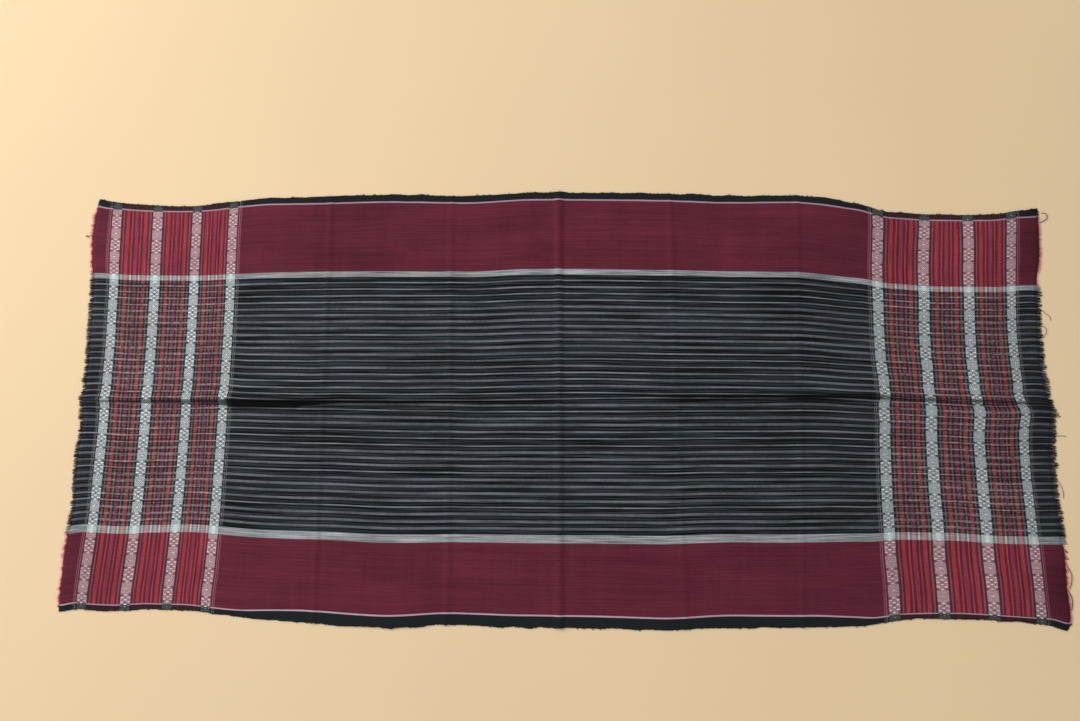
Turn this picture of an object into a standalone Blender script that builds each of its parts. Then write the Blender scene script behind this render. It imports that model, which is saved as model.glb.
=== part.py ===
"""A handwoven ulos shoulder cloth, laid out flat on the floor with its storage folds still in it.

Run with: blender --background --python part.py

Metres. +X runs along the cloth, +Y across it towards the far selvedge, +Z is up. The cloth is one
woven piece. Its raw ends are two combs of warp ends, each a narrow strip with the strands on it.
"""

import math
import random
from typing import NamedTuple

import bpy
import numpy as np

MM = 0.001

# Driving sizes, in millimetres
CLOTH_THICKNESS = 1.2
HALF_LENGTH = 870.0
HALF_WIDTH = 388.0
END_BLEND = 180.0
COLUMN_SPACING = 36.0
ROW_SPACING = 36.0

# Stripes along the warp, as shares of the half width
SELVEDGE_SHARE = 0.968
GREY_BAND_OUTER_SHARE = 0.652
GREY_BAND_INNER_SHARE = 0.622

# Brocade bands across the ends
BAND_WIDTH = 18.0
LEFT_BAND_CENTRES = (-831.0, -755.0, -682.0, -610.0)
RIGHT_BAND_CENTRES = (577.0, 661.0, 743.0, 822.0)

# Folds
LENGTHWISE_FAR_FLANK = 22.0
LENGTHWISE_NEAR_FLANK = 11.0
CREASE_SAMPLES = (-1.0, -0.5, 0.0, 0.5, 1.0)

# Warp ends. The strip's setback runs along X, and leaves 0.3 mm or more square to the cloth's slanted edge.
STRIP_SETBACK = 0.56
STRIP_WIDTH = 2.2
STRAND_THICKNESS = 0.9
STRAND_PITCH = 6.6
STRAND_WIDTH = 4.2
STRAND_TIP_WIDTH = 2.2
LONE_THREAD_WIDTH = 1.3
STRAND_SEED = 7
CORNER_MARGIN = 2.0


class Selvedges(NamedTuple):
    """Where the two long edges lie at one place along the cloth."""

    along: float
    far: float
    near: float


SELVEDGES = (
    Selvedges(-872, 377.0, -380.0),
    Selvedges(-840, 370.0, -373.5),
    Selvedges(-780, 365.0, -375.0),
    Selvedges(-720, 364.5, -371.0),
    Selvedges(-660, 367.0, -371.0),
    Selvedges(-600, 375.0, -376.0),
    Selvedges(-540, 381.0, -382.0),
    Selvedges(-420, 386.0, -389.0),
    Selvedges(-300, 389.5, -394.0),
    Selvedges(-180, 388.5, -387.0),
    Selvedges(-60, 396.0, -388.5),
    Selvedges(60, 397.0, -387.5),
    Selvedges(180, 396.5, -388.5),
    Selvedges(300, 393.5, -381.0),
    Selvedges(420, 395.5, -379.0),
    Selvedges(540, 381.0, -372.0),
    Selvedges(600, 365.0, -361.0),
    Selvedges(690, 360.5, -358.0),
    Selvedges(780, 361.5, -361.0),
    Selvedges(840, 369.5, -365.0),
    Selvedges(872, 374.0, -374.0),
)


class WovenEnds(NamedTuple):
    """Where the last weft lies at both ends, at one place across the cloth."""

    across: float
    left: float
    right: float


WOVEN_ENDS = (
    WovenEnds(380, -869.0, 868.0),
    WovenEnds(340, -873.0, 868.0),
    WovenEnds(290, -875.0, 866.0),
    WovenEnds(250, -872.0, 860.0),
    WovenEnds(225, -866.0, 857.0),
    WovenEnds(150, -863.0, 854.0),
    WovenEnds(85, -862.0, 855.0),
    WovenEnds(45, -862.5, 860.5),
    WovenEnds(20, -863.0, 862.5),
    WovenEnds(0, -866.0, 870.0),
    WovenEnds(-30, -863.0, 867.5),
    WovenEnds(-60, -862.0, 864.0),
    WovenEnds(-100, -866.0, 864.0),
    WovenEnds(-150, -866.0, 866.0),
    WovenEnds(-190, -863.0, 869.5),
    WovenEnds(-222, -866.0, 872.0),
    WovenEnds(-245, -871.0, 876.0),
    WovenEnds(-300, -875.0, 881.0),
    WovenEnds(-345, -876.0, 880.0),
    WovenEnds(-382, -874.0, 871.0),
)


class CreaseStation(NamedTuple):
    """The lengthwise fold at one place along the cloth: where its crest lies and how far it stands up."""

    along: float
    across: float
    rise: float


LENGTHWISE_CREASE = (
    CreaseStation(-872, -4.0, 4.0),
    CreaseStation(-760, -1.0, 3.5),
    CreaseStation(-640, 1.0, 5.0),
    CreaseStation(-560, 2.0, 9.0),
    CreaseStation(-420, 3.5, 9.0),
    CreaseStation(-320, 4.5, 6.5),
    CreaseStation(-200, 6.0, 4.0),
    CreaseStation(-20, 8.0, 3.0),
    CreaseStation(60, 13.0, 1.5),
    CreaseStation(150, 19.0, 2.5),
    CreaseStation(300, 20.5, 4.0),
    CreaseStation(430, 22.0, 6.0),
    CreaseStation(540, 23.5, 7.5),
    CreaseStation(620, 22.0, 5.0),
    CreaseStation(740, 20.0, 6.0),
    CreaseStation(872, 16.0, 5.0),
)


class CrosswiseCrease(NamedTuple):
    """A fold line across the cloth, from the far selvedge to the near one."""

    at_far_edge: float
    at_near_edge: float
    rise: float
    half_width: float


CROSSWISE_CREASES = (
    CrosswiseCrease(-432, -425, 2.2, 10.0),
    CrosswiseCrease(-206, -190, 2.2, 10.0),
    CrosswiseCrease(-7, 6, 5.0, 12.0),
    CrosswiseCrease(198, 224, 2.2, 10.0),
    CrosswiseCrease(432, 426, 2.2, 10.0),
)


class Swell(NamedTuple):
    """A low wave where the cloth doesn't lie down: its middle, its reach each way, its turn and its rise."""

    along: float
    across: float
    half_length: float
    half_width: float
    turn_deg: float
    rise: float


SWELLS = (
    Swell(-540, 300, 120, 80, -8, 2.6),
    Swell(-690, -250, 110, 90, 20, 2.0),
    Swell(-300, -372, 130, 46, 0, 2.4),
    Swell(110, -300, 150, 70, 5, 1.8),
    Swell(475, 318, 120, 75, -10, 3.0),
    Swell(505, -178, 85, 22, 22, 2.8),
    Swell(362, -38, 34, 20, 62, 2.2),
    Swell(800, -270, 90, 100, -15, 2.6),
)


class LoneThread(NamedTuple):
    """A long loose warp end: where it leaves its strip, and its path from there as (out, across) steps."""

    name: str
    right_end: bool
    across: float
    path: tuple


LONE_THREADS = (
    LoneThread("corner curl", True, 347, ((5, 1), (12, 4), (17, 9), (17.5, 14), (13.5, 18), (8, 18.5))),
    LoneThread("upper hook", True, 192, ((7, -6), (14, -14), (20, -21), (20.5, -26))),
    LoneThread("lower hook", True, 158, ((9, -2), (13.5, -7), (12, -14), (9, -20))),
    LoneThread("crease tuft", True, 1, ((4, -1), (9, -3))),
    LoneThread("straight thread", True, -42, ((6, 0), (13, 1), (21, 0))),
    LoneThread("long bow", True, -104, ((7, -9), (10.5, -20), (10.5, -32), (8, -44))),
    LoneThread("near curl", True, -246, ((6.5, -9), (9.5, -20), (9, -32), (7.5, -42))),
    LoneThread("corner bow", True, -297, ((6, -10), (8.5, -20), (8.5, -32), (6.5, -43))),
    LoneThread("knotted thread", False, 305, ((5, -0.5), (10, -1), (13, -1.5))),
)

BODY_FINISHES = {
    "maroon warp": ((0.100, 0.018, 0.032), 0.85),
    "black warp": ((0.013, 0.016, 0.021), 0.85),
    "white warp": ((0.360, 0.390, 0.400), 0.85),
    "red weft": ((0.300, 0.030, 0.040), 0.80),
    "white brocade": ((0.480, 0.450, 0.450), 0.80),
}
FRINGE_FINISH = ((0.035, 0.024, 0.030), 0.90)


def clear_scene():
    for old in list(bpy.data.objects):
        bpy.data.objects.remove(old, do_unlink=True)


def column(rows, name):
    return np.array([getattr(row, name) for row in rows], float)


def smooth_curve(places, values, wanted):
    """A curve through the rows' values, with a cubic from row to row and slopes that never overshoot."""
    order = np.argsort(places)
    places, values = places[order], values[order]
    wanted = np.clip(wanted, places[0], places[-1])
    steps = np.diff(places)
    slopes = np.diff(values) / steps
    tangents = np.zeros_like(values)
    same_way = slopes[:-1] * slopes[1:] > 0
    tangents[1:-1][same_way] = 2 * (slopes[:-1] * slopes[1:])[same_way] / (slopes[:-1] + slopes[1:])[same_way]
    tangents[0], tangents[-1] = slopes[0], slopes[-1]
    at = np.clip(np.searchsorted(places, wanted) - 1, 0, len(steps) - 1)
    step = steps[at]
    t = (wanted - places[at]) / step
    return (
        values[at] * (1 + 2 * t) * (1 - t) ** 2
        + tangents[at] * step * t * (1 - t) ** 2
        + values[at + 1] * t**2 * (3 - 2 * t)
        + tangents[at + 1] * step * t**2 * (t - 1)
    )


def far_edge(along):
    return smooth_curve(column(SELVEDGES, "along"), column(SELVEDGES, "far"), along)


def near_edge(along):
    return smooth_curve(column(SELVEDGES, "along"), column(SELVEDGES, "near"), along)


def woven_end(right_end, across):
    name = "right" if right_end else "left"
    return smooth_curve(column(WOVEN_ENDS, "across"), column(WOVEN_ENDS, name), across)


def crease_line(along):
    return smooth_curve(column(LENGTHWISE_CREASE, "along"), column(LENGTHWISE_CREASE, "across"), along)


def ease(share):
    share = np.clip(share, 0.0, 1.0)
    return share * share * (3 - 2 * share)


def ridge(distance, width):
    """A soft ridge, 1 at its crest and level with the floor from one width away."""
    share = np.clip(np.abs(distance) / width, 0.0, 1.0)
    return np.cos(share * math.pi / 2) ** 2


def lift(along, across):
    """How far the cloth's underside stands off the floor: the tallest fold there, and any swell under it."""
    rise = smooth_curve(column(LENGTHWISE_CREASE, "along"), column(LENGTHWISE_CREASE, "rise"), along)
    off_crest = across - crease_line(along)
    flank = np.where(off_crest > 0, LENGTHWISE_FAR_FLANK, LENGTHWISE_NEAR_FLANK)
    height = rise * ridge(off_crest, flank)
    toward_near = np.clip(0.5 - across / (2 * HALF_WIDTH), 0.0, 1.0)
    for fold in CROSSWISE_CREASES:
        fold_line = fold.at_far_edge + (fold.at_near_edge - fold.at_far_edge) * toward_near
        height = np.maximum(height, fold.rise * ridge(along - fold_line, fold.half_width))
    for swell in SWELLS:
        turn = math.radians(swell.turn_deg)
        out, aside = along - swell.along, across - swell.across
        lengthwise = (out * math.cos(turn) + aside * math.sin(turn)) / swell.half_length
        crosswise = (aside * math.cos(turn) - out * math.sin(turn)) / swell.half_width
        height = height + swell.rise * ridge(np.hypot(lengthwise, crosswise), 1.0)
    return height


def filled(marks, spacing):
    """The marks in order, with even steps of at most the spacing between them."""
    marks = sorted(set(marks))
    stations = [marks[0]]
    for start, end in zip(marks, marks[1:]):
        steps = max(1, math.ceil((end - start) / spacing))
        stations += [start + (end - start) * step / steps for step in range(1, steps + 1)]
    return np.array(stations)


def column_stations():
    """Places along the cloth that have a line of points: its ends, both sides of each band, each fold."""
    marks = [-HALF_LENGTH, HALF_LENGTH]
    for centre in LEFT_BAND_CENTRES + RIGHT_BAND_CENTRES:
        marks += [centre - BAND_WIDTH / 2, centre + BAND_WIDTH / 2]
    for fold in CROSSWISE_CREASES:
        middle = (fold.at_far_edge + fold.at_near_edge) / 2
        marks += [middle + share * fold.half_width for share in CREASE_SAMPLES]
    return filled(marks, COLUMN_SPACING)


def row_stations():
    """Shares of the half width that have a line of points: 0 is the lengthwise crest, 1 the far selvedge."""
    marks = [-1.0, 1.0]
    for share in (SELVEDGE_SHARE, GREY_BAND_OUTER_SHARE, GREY_BAND_INNER_SHARE):
        marks += [-share, share]
    for sample in CREASE_SAMPLES:
        flank = LENGTHWISE_FAR_FLANK if sample > 0 else LENGTHWISE_NEAR_FLANK
        marks.append(sample * flank / HALF_WIDTH)
    return filled(marks, ROW_SPACING / HALF_WIDTH)


def fold_slant(along):
    """How much further along a fold line is at the near selvedge than at the far one, eased between folds."""
    middles = np.array([(fold.at_far_edge + fold.at_near_edge) / 2 for fold in CROSSWISE_CREASES])
    slants = np.array([fold.at_near_edge - fold.at_far_edge for fold in CROSSWISE_CREASES])
    places = np.concatenate([[-HALF_LENGTH], middles, [HALF_LENGTH]])
    return smooth_curve(places, np.concatenate([[0.0], slants, [0.0]]), along)


def cloth_plan(columns, rows):
    """Where each column and row cross on the floor: two grids, one along and one across the cloth."""
    start, share = np.meshgrid(columns, rows, indexing="ij")
    along = start - fold_slant(start) * share / 2
    crest, far, near = crease_line(along), far_edge(along), near_edge(along)
    across = crest + share * np.where(share > 0, far - crest, crest - near)
    for right_end, sign in ((False, -1), (True, 1)):
        reach = ease((sign * start - (HALF_LENGTH - END_BLEND)) / END_BLEND)
        along = along + reach * (woven_end(right_end, across) - sign * HALF_LENGTH)
    return along, across


def material(name, colour, roughness):
    made = bpy.data.materials.new(name)
    made.use_nodes = True
    made.diffuse_color = (*colour, 1.0)
    shader = made.node_tree.nodes["Principled BSDF"]
    shader.inputs["Base Color"].default_value = (*colour, 1.0)
    shader.inputs["Roughness"].default_value = roughness
    return made


def raised_sheet(name, points, faces, thickness):
    """An object from its underside in millimetres, given its thickness upwards by a Solidify modifier."""
    mesh = bpy.data.meshes.new(name)
    mesh.from_pydata([tuple(point) for point in np.asarray(points) * MM], [], faces)
    mesh.validate()
    made = bpy.data.objects.new(name, mesh)
    bpy.context.scene.collection.objects.link(made)
    shell = made.modifiers.new("Thickness", "SOLIDIFY")
    shell.thickness = thickness * MM
    shell.offset = 1.0
    shell.use_even_offset = False
    return made


def weave_zone(along, share):
    """The name of the finish that a face of the cloth has."""
    for centres in (LEFT_BAND_CENTRES, RIGHT_BAND_CENTRES):
        if any(abs(along - centre) < BAND_WIDTH / 2 for centre in centres):
            return "white brocade"
        if centres[0] < along < centres[-1]:
            return "red weft"
    if abs(share) > SELVEDGE_SHARE:
        return "black warp"
    if abs(share) > GREY_BAND_OUTER_SHARE:
        return "maroon warp"
    return "white warp" if abs(share) > GREY_BAND_INNER_SHARE else "black warp"


def make_cloth():
    columns, rows = column_stations(), row_stations()
    along, across = cloth_plan(columns, rows)
    points = np.stack([along, across, lift(along, across)], axis=-1).reshape(-1, 3)
    numbers = np.arange(len(points)).reshape(along.shape)
    corners = (numbers[:-1, :-1], numbers[1:, :-1], numbers[1:, 1:], numbers[:-1, 1:])
    faces = np.stack([corner.ravel() for corner in corners], axis=-1).tolist()
    cloth = raised_sheet("cloth", points, faces, CLOTH_THICKNESS)
    finishes = list(BODY_FINISHES)
    for finish, (colour, roughness) in BODY_FINISHES.items():
        cloth.data.materials.append(material(finish, colour, roughness))
    middles = [(a, s) for a in (columns[:-1] + columns[1:]) / 2 for s in (rows[:-1] + rows[1:]) / 2]
    for face, (place, share) in zip(cloth.data.polygons, middles):
        face.material_index = finishes.index(weave_zone(place, share))
    return cloth


def strand_length(across, draw):
    """How far a strand reaches past its strip: the dark field's ends are long, the maroon borders' short."""
    share = abs(across) / HALF_WIDTH
    shortest, longest = (1.2, 2.6) if share > GREY_BAND_OUTER_SHARE else (3.0, 6.5)
    return draw.uniform(shortest, longest)


def beside_lone_thread(right_end, across):
    """Whether a lone thread lies in front of this place on the end, so that its neighbours stay short."""
    for thread in LONE_THREADS:
        steps = [step[1] for step in thread.path] + [0]
        if thread.right_end == right_end and min(steps) - 6 < across - thread.across < max(steps) + 6:
            return True
    return False


def cut_edge(right_end):
    """The points of the cloth's own end, from the near corner to the far one: along, across and height."""
    along, across = cloth_plan(column_stations(), row_stations())
    along, across = along[-1 if right_end else 0], across[-1 if right_end else 0]
    return along, across, lift(along, across)


def make_fringe(name, right_end):
    """One raw end: a strip along the last weft, and the strands that grow out of it onto the floor."""
    sign = 1 if right_end else -1
    draw = random.Random(STRAND_SEED + right_end)
    edge_along, edge_across, edge_height = cut_edge(right_end)
    low, high = edge_across[0] + CORNER_MARGIN, edge_across[-1] - CORNER_MARGIN
    count = int((high - low) / STRAND_PITCH)
    pitch = (high - low) / count
    lone = {int((thread.across - low) / pitch): thread for thread in LONE_THREADS if thread.right_end == right_end}
    points, faces = [], []

    def add(along, across, height):
        points.append((along, across, height))
        return len(points) - 1

    def add_face(*corners):
        faces.append(corners if right_end else corners[::-1])

    def strip_line(across):
        inner = np.interp(across, edge_across, edge_along) + sign * STRIP_SETBACK
        height = np.interp(across, edge_across, edge_height)
        return add(inner, across, height), add(inner + sign * STRIP_WIDTH, across, height)

    last = strip_line(low)
    for number in range(count):
        start = low + number * pitch + (pitch - STRAND_WIDTH) / 2
        sides = []
        for across in (start, start + STRAND_WIDTH):
            line = strip_line(across)
            add_face(last[0], last[1], line[1], line[0])
            sides.append(line[1])
            last = line
        middle = start + STRAND_WIDTH / 2
        root = points[sides[0]][0]
        if number in lone:
            path, width = lone[number].path, LONE_THREAD_WIDTH
        else:
            length = strand_length(middle, draw)
            if beside_lone_thread(right_end, middle):
                length = min(length, 2.5)
            path, width = ((length, draw.uniform(-0.22, 0.22) * length),), STRAND_TIP_WIDTH
        before = np.array((0.0, 0.0))
        for out, aside in path:
            step = np.array((out, aside), float)
            heading = (step - before) / np.linalg.norm(step - before)
            across_way = np.array((-heading[1], heading[0])) * width / 2
            tips = [
                add(root + sign * corner[0], middle + corner[1], 0.0)
                for corner in (step - across_way, step + across_way)
            ]
            add_face(sides[0], tips[0], tips[1], sides[1])
            sides, before = tips, step
    line = strip_line(high)
    add_face(last[0], last[1], line[1], line[0])
    fringe = raised_sheet(name, points, faces, STRAND_THICKNESS)
    fringe.data.materials.append(material(name + " yarn", *FRINGE_FINISH))
    return fringe


def stand_on_origin(parts):
    """Parents the parts to an empty that puts the middle of their box, at floor level, on the origin."""
    bpy.context.view_layer.update()
    graph = bpy.context.evaluated_depsgraph_get()
    corners = np.array([corner for part in parts for corner in part.evaluated_get(graph).bound_box])
    middle = (corners.min(axis=0) + corners.max(axis=0)) / 2
    holder = bpy.data.objects.new("ulos", None)
    bpy.context.scene.collection.objects.link(holder)
    holder.location = (-middle[0], -middle[1], -corners[:, 2].min())
    for part in parts:
        part.parent = holder


def main():
    clear_scene()
    cloth = make_cloth()
    left = make_fringe("fringe_left", right_end=False)
    right = make_fringe("fringe_right", right_end=True)
    stand_on_origin([cloth, left, right])


main()
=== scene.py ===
"""The looks of a handwoven ulos shoulder cloth, laid out flat with its storage folds still in it.

+X runs along the cloth, +Y across it towards the far selvedge, +Z is up. The scene is in metres. Places in
the tables below are in millimetres on the floor, measured from the middle of the cloth, and ClothPlan
turns them into places in the frame.
"""

import logging
import math
import re
from dataclasses import dataclass
from enum import Enum
from typing import NamedTuple

import bpy
import numpy as np
from mathutils import Matrix, Vector


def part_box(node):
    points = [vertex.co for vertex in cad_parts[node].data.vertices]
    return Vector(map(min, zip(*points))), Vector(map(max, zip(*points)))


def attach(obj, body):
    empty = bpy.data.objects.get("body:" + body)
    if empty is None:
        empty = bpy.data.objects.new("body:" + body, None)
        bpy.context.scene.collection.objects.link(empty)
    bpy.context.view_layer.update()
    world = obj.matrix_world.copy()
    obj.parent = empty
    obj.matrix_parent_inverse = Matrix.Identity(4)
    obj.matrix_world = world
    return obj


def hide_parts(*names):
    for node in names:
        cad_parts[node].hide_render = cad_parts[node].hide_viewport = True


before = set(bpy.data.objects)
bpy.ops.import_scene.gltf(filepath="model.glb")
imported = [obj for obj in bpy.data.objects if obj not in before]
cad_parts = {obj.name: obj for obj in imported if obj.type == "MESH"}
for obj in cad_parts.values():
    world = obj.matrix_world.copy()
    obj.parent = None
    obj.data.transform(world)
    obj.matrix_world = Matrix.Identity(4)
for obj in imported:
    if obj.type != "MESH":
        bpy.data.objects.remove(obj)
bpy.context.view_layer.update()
log = logging.getLogger("ulos")

MM = 0.001

Socket = bpy.types.NodeSocket
Colour = tuple[float, float, float, float]


class End(Enum):
    """The two raw ends of the cloth, as the sign of X there."""

    LEFT = -1
    RIGHT = 1


class Edge(Enum):
    """The two selvedges, as the sign of Y there."""

    NEAR = -1
    FAR = 1


def table(kind: type, *rows: tuple) -> tuple:
    """A table whose plain rows have become named tuples of one kind."""
    return tuple(kind(*row) for row in rows)


class Selvedges(NamedTuple):
    """Where the two long edges lie at one place along the cloth."""

    along: float
    far: float
    near: float


SELVEDGES = table(
    Selvedges,
    (-872, 377, -380), (-840, 370, -373.5), (-780, 365, -375), (-720, 364.5, -371), (-660, 367, -371),
    (-600, 375, -376), (-540, 381, -382), (-420, 386, -389), (-300, 389.5, -394), (-180, 388.5, -387),
    (-60, 396, -388.5), (60, 397, -387.5), (180, 396.5, -388.5), (300, 393.5, -381), (420, 395.5, -379),
    (540, 381, -372), (600, 365, -361), (690, 360.5, -358), (780, 361.5, -361), (840, 369.5, -365),
    (872, 374, -374),
)


class WovenEnds(NamedTuple):
    """Where the last weft lies at both ends, at one place across the cloth."""

    across: float
    left: float
    right: float


WOVEN_ENDS = table(
    WovenEnds,
    (-382, -874, 871), (-345, -876, 880), (-300, -875, 877), (-245, -871, 877), (-222, -866, 873),
    (-190, -863, 869.5), (-150, -866, 866), (-100, -866, 864), (-60, -862, 864), (-30, -863, 867.5),
    (0, -866, 870), (20, -863, 862.5), (45, -862.5, 860.5), (85, -862, 855), (150, -863, 854),
    (225, -866, 857), (250, -872, 860), (290, -875, 866), (340, -873, 868), (380, -869, 868),
)


class BandLines(NamedTuple):
    """Where the middles of an end's four brocade bands lie, at one place across the cloth."""

    across: float
    first: float
    second: float
    third: float
    fourth: float


LEFT_BANDS = table(
    BandLines,
    (-340, -837.5, -759, -684, -616), (-300, -835, -756, -681.5, -613),
    (-250, -831.5, -753, -679, -611.5), (-200, -829.5, -751.5, -678, -610),
    (-150, -828.5, -750.5, -677, -609.5), (-50, -827, -749.5, -676, -609),
    (100, -827, -749.5, -676, -609), (150, -828.5, -750.5, -677, -609.5),
    (200, -829.5, -751.5, -678, -610.5), (250, -832, -753.5, -680, -612),
    (300, -833.5, -755, -681, -613), (350, -835, -756.5, -682, -614),
)

RIGHT_BANDS = table(
    BandLines,
    (-340, 582.5, 667, 752.5, 832.5), (-300, 581.5, 665.5, 750.5, 830.5), (-250, 578.5, 663, 747, 827),
    (-200, 578, 662.5, 746.5, 825.5), (-150, 576.5, 660, 744.5, 823), (-100, 576.5, 659, 743, 820.5),
    (-50, 576.5, 658.5, 741.5, 820.5), (-25, 578, 659, 744, 823), (0, 577, 661, 746, 827),
    (5, 577, 660.5, 745, 825.5), (15, 578, 659, 740.5, 818.5), (25, 578.5, 657.5, 739, 814.5),
    (50, 579, 657, 738.5, 815.5), (75, 576, 657, 737, 814), (100, 574, 655, 735.5, 812.5),
    (150, 573, 654.5, 735.5, 811), (200, 573.5, 656.5, 737, 813), (250, 573.5, 657, 738, 815),
    (300, 576, 660, 741, 818), (340, 578.5, 663.5, 741.5, 821),
)


# The lines of the bands that count as straight, so that the others bend away from them
STRAIGHT_LEFT = LEFT_BANDS[6]
STRAIGHT_RIGHT = RIGHT_BANDS[14]

# An end's four bands are numbered from 0 to LAST_BAND at the left, and FIRST_RIGHT_BAND more at the right.
# Numbers past MIDDLE_NUMBER are at the right.
LAST_BAND = 3
FIRST_RIGHT_BAND = 10
MIDDLE_NUMBER = 6.5

# The numbers at the left end, its bands, the two still places between, the right bands and the right end
KNOT_NUMBERS = (-0.57, 0, 1, 2, 3, 6, 7.7, 10, 11, 12, 13, 13.75)

# The two thin lines beside a band: how far out they start, as shares of the gap between bands, and how
# strong they are
THIN_LINES = ((0.160, 0.95), (0.204, 0.6))
THIN_LINE_WIDTH = 0.016


class CreaseStation(NamedTuple):
    """The lengthwise fold at one place along the cloth: where its crest lies and how far it stands up."""

    along: float
    across: float
    rise: float


LENGTHWISE_CREASE = table(
    CreaseStation,
    (-872, -4, 4), (-760, -1, 3.5), (-640, 1, 5), (-560, 2, 9), (-420, 3.5, 9), (-320, 4.5, 6.5),
    (-200, 6, 4), (-20, 8, 3), (60, 13, 1.5), (150, 19, 2.5), (300, 20.5, 4), (430, 22, 6),
    (540, 23.5, 7.5), (620, 22, 5), (740, 20, 6), (872, 16, 5),
)


class CrosswiseCrease(NamedTuple):
    """A fold line across the cloth: its places at both selvedges, its size, and how dark its painted shade
    line is.
    """

    at_far_edge: float
    at_near_edge: float
    rise: float
    half_width: float
    depth: float

    @property
    def middle(self) -> float:
        """Where it crosses the middle of the cloth."""
        return (self.at_far_edge + self.at_near_edge) / 2

    @property
    def slant(self) -> float:
        """How much further along it lies at the near selvedge than at the far one."""
        return self.at_near_edge - self.at_far_edge


CROSSWISE_CREASES = table(
    CrosswiseCrease,
    (-432, -425, 1.7, 10, 0), (-206, -190, 1.6, 10, 0.01), (-7, 6, 4.2, 12, 0.04),
    (198, 224, 1.6, 10, 0.01), (432, 426, 1.7, 10, 0.01),
)


class FoldShade(NamedTuple):
    """The painted shadow line down the lengthwise fold: its reach above and below the crest, and how dark it
    is.

    Where the reach above is less than 0, the line starts that far below the crest.
    """

    along: float
    above: float
    below: float
    depth: float


FOLD_SHADES = table(
    FoldShade,
    (-872, -0.5, 4, 0.5), (-800, -0.5, 6, 0.6), (-620, -0.5, 10, 0.68), (-590, 0, 13, 0.99),
    (-480, -0.5, 12, 0.99), (-430, -1, 7.5, 0.98), (-340, -1, 5.5, 0.97), (-260, -1, 5.5, 0.96),
    (-150, -0.5, 4.5, 0.95), (-60, 0, 3.5, 0.9), (-12, 1, 3, 0.75), (14, 1.5, 2, 0), (118, 1.5, 1.5, 0),
    (150, 1.5, 2, 0.7), (220, 2.5, 3.5, 0.98), (470, 2.5, 3.5, 0.98), (500, 4, 4, 0.95),
    (550, 4, 4, 0.9), (590, 2, 4, 0.55), (700, 1, 4, 0.55), (766, 0.5, 4, 0.75), (872, 0, 4, 0.7),
)


class ThreadPull(NamedTuple):
    """How far the warp lies toward the near side of an even lay, at one place along the cloth.

    The four values are for the far grey band, the fold's far side and near side, and the near grey band.
    """

    along: float
    far_band: float
    beyond_fold: float
    before_fold: float
    near_band: float


THREAD_PULLS = table(
    ThreadPull,
    (-872, 2, 3, -2, 4), (-844, -1.5, 1, -2, 4), (-744, -3.5, 0, -1.5, 4), (-640, -1.5, 0, -2.5, 1.5),
    (-560, 1, 5, -4, 2.5), (-470, 0.5, 5.5, -4, 1), (-390, 0.5, 3, -5, -1), (-300, 0.5, 2, -5.5, -1),
    (-200, -0.5, 2.5, -2.5, 2), (-100, 0, 2.5, -0.5, 1), (0, -0.5, 1, -1, 1), (100, -0.5, 0, -2.5, 0),
    (215, -1, 0, -5.5, -2), (320, -0.5, 1, -4.5, -1), (420, 1, 2.5, -5.5, -1.5),
    (500, 2, 2.5, -6.5, -2.5), (606, -1, 0, -6.5, -0.5), (690, 0.5, 2.5, -4, 1), (750, 0, 3, -3, 2.5),
    (836, 2, 3.5, -5, 1), (872, 5.5, 4, -6.5, -6.5),
)


class Mark(NamedTuple):
    """A soft mark in the cloth's tone: its middle, its reach each way, its turn, and how dark it is.

    The small marks along the folds and wrinkles are mostly painted shadows of them. The broad ones make
    the cloth darker towards the right and at both ends, and lighter in a few places. A depth under 0 makes
    the cloth lighter.
    """

    along: float
    across: float
    half_length: float
    half_width: float
    turn_deg: float
    depth: float


MARKS = table(
    Mark,
    (230, 27, 26, 5, 0, 0.55), (366, 28, 40, 5, 0, 0.5), (362, -38, 26, 7, 62, 0.4),
    (228, -22, 22, 10, 20, 0.3), (320, -40, 55, 14, 0, 0.22), (478, -172, 34, 5, 18, 0.5),
    (530, -190, 42, 5, 24, 0.45), (-300, -6, 150, 14, 0, 0.2), (-70, -24, 80, 22, 0, -0.28),
    (660, 18, 30, 7, 0, 0.4), (740, 16, 24, 7, 0, 0.4), (905, 0, 1000, 1400, 0, 0.19),
    (715, 0, 170, 1400, 0, -0.12), (725, 300, 170, 150, 0, -0.09), (735, -310, 170, 150, 0, -0.09),
    (-400, 290, 230, 140, 0, 0.14), (-850, -300, 200, 130, 0, 0.12), (872, 300, 60, 110, 0, 0.4),
    (880, -300, 66, 110, 0, 0.44), (872, 0, 60, 340, 0, 0.32), (-868, 0, 50, 340, 0, 0.16),
)


class Swell(NamedTuple):
    """A low wave where the cloth stands off the floor: its middle, its reach each way, turn and rise."""

    along: float
    across: float
    half_length: float
    half_width: float
    turn_deg: float
    rise: float


SWELLS = table(
    Swell,
    (-540, 300, 120, 80, -8, 2.6), (-690, -250, 110, 90, 20, 2), (-300, -372, 130, 46, 0, 2.4),
    (110, -300, 150, 70, 5, 1.8), (475, 318, 120, 75, -10, 3), (505, -178, 85, 22, 22, 2.8),
    (362, -38, 34, 20, 62, 2.2), (800, -270, 90, 100, -15, 2.6),
)


class LoneThread(NamedTuple):
    """A long loose warp end: its place on the cloth's end, and its steps from there, out and across."""

    end: End
    across: float
    path: tuple[tuple[float, float], ...]


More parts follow.
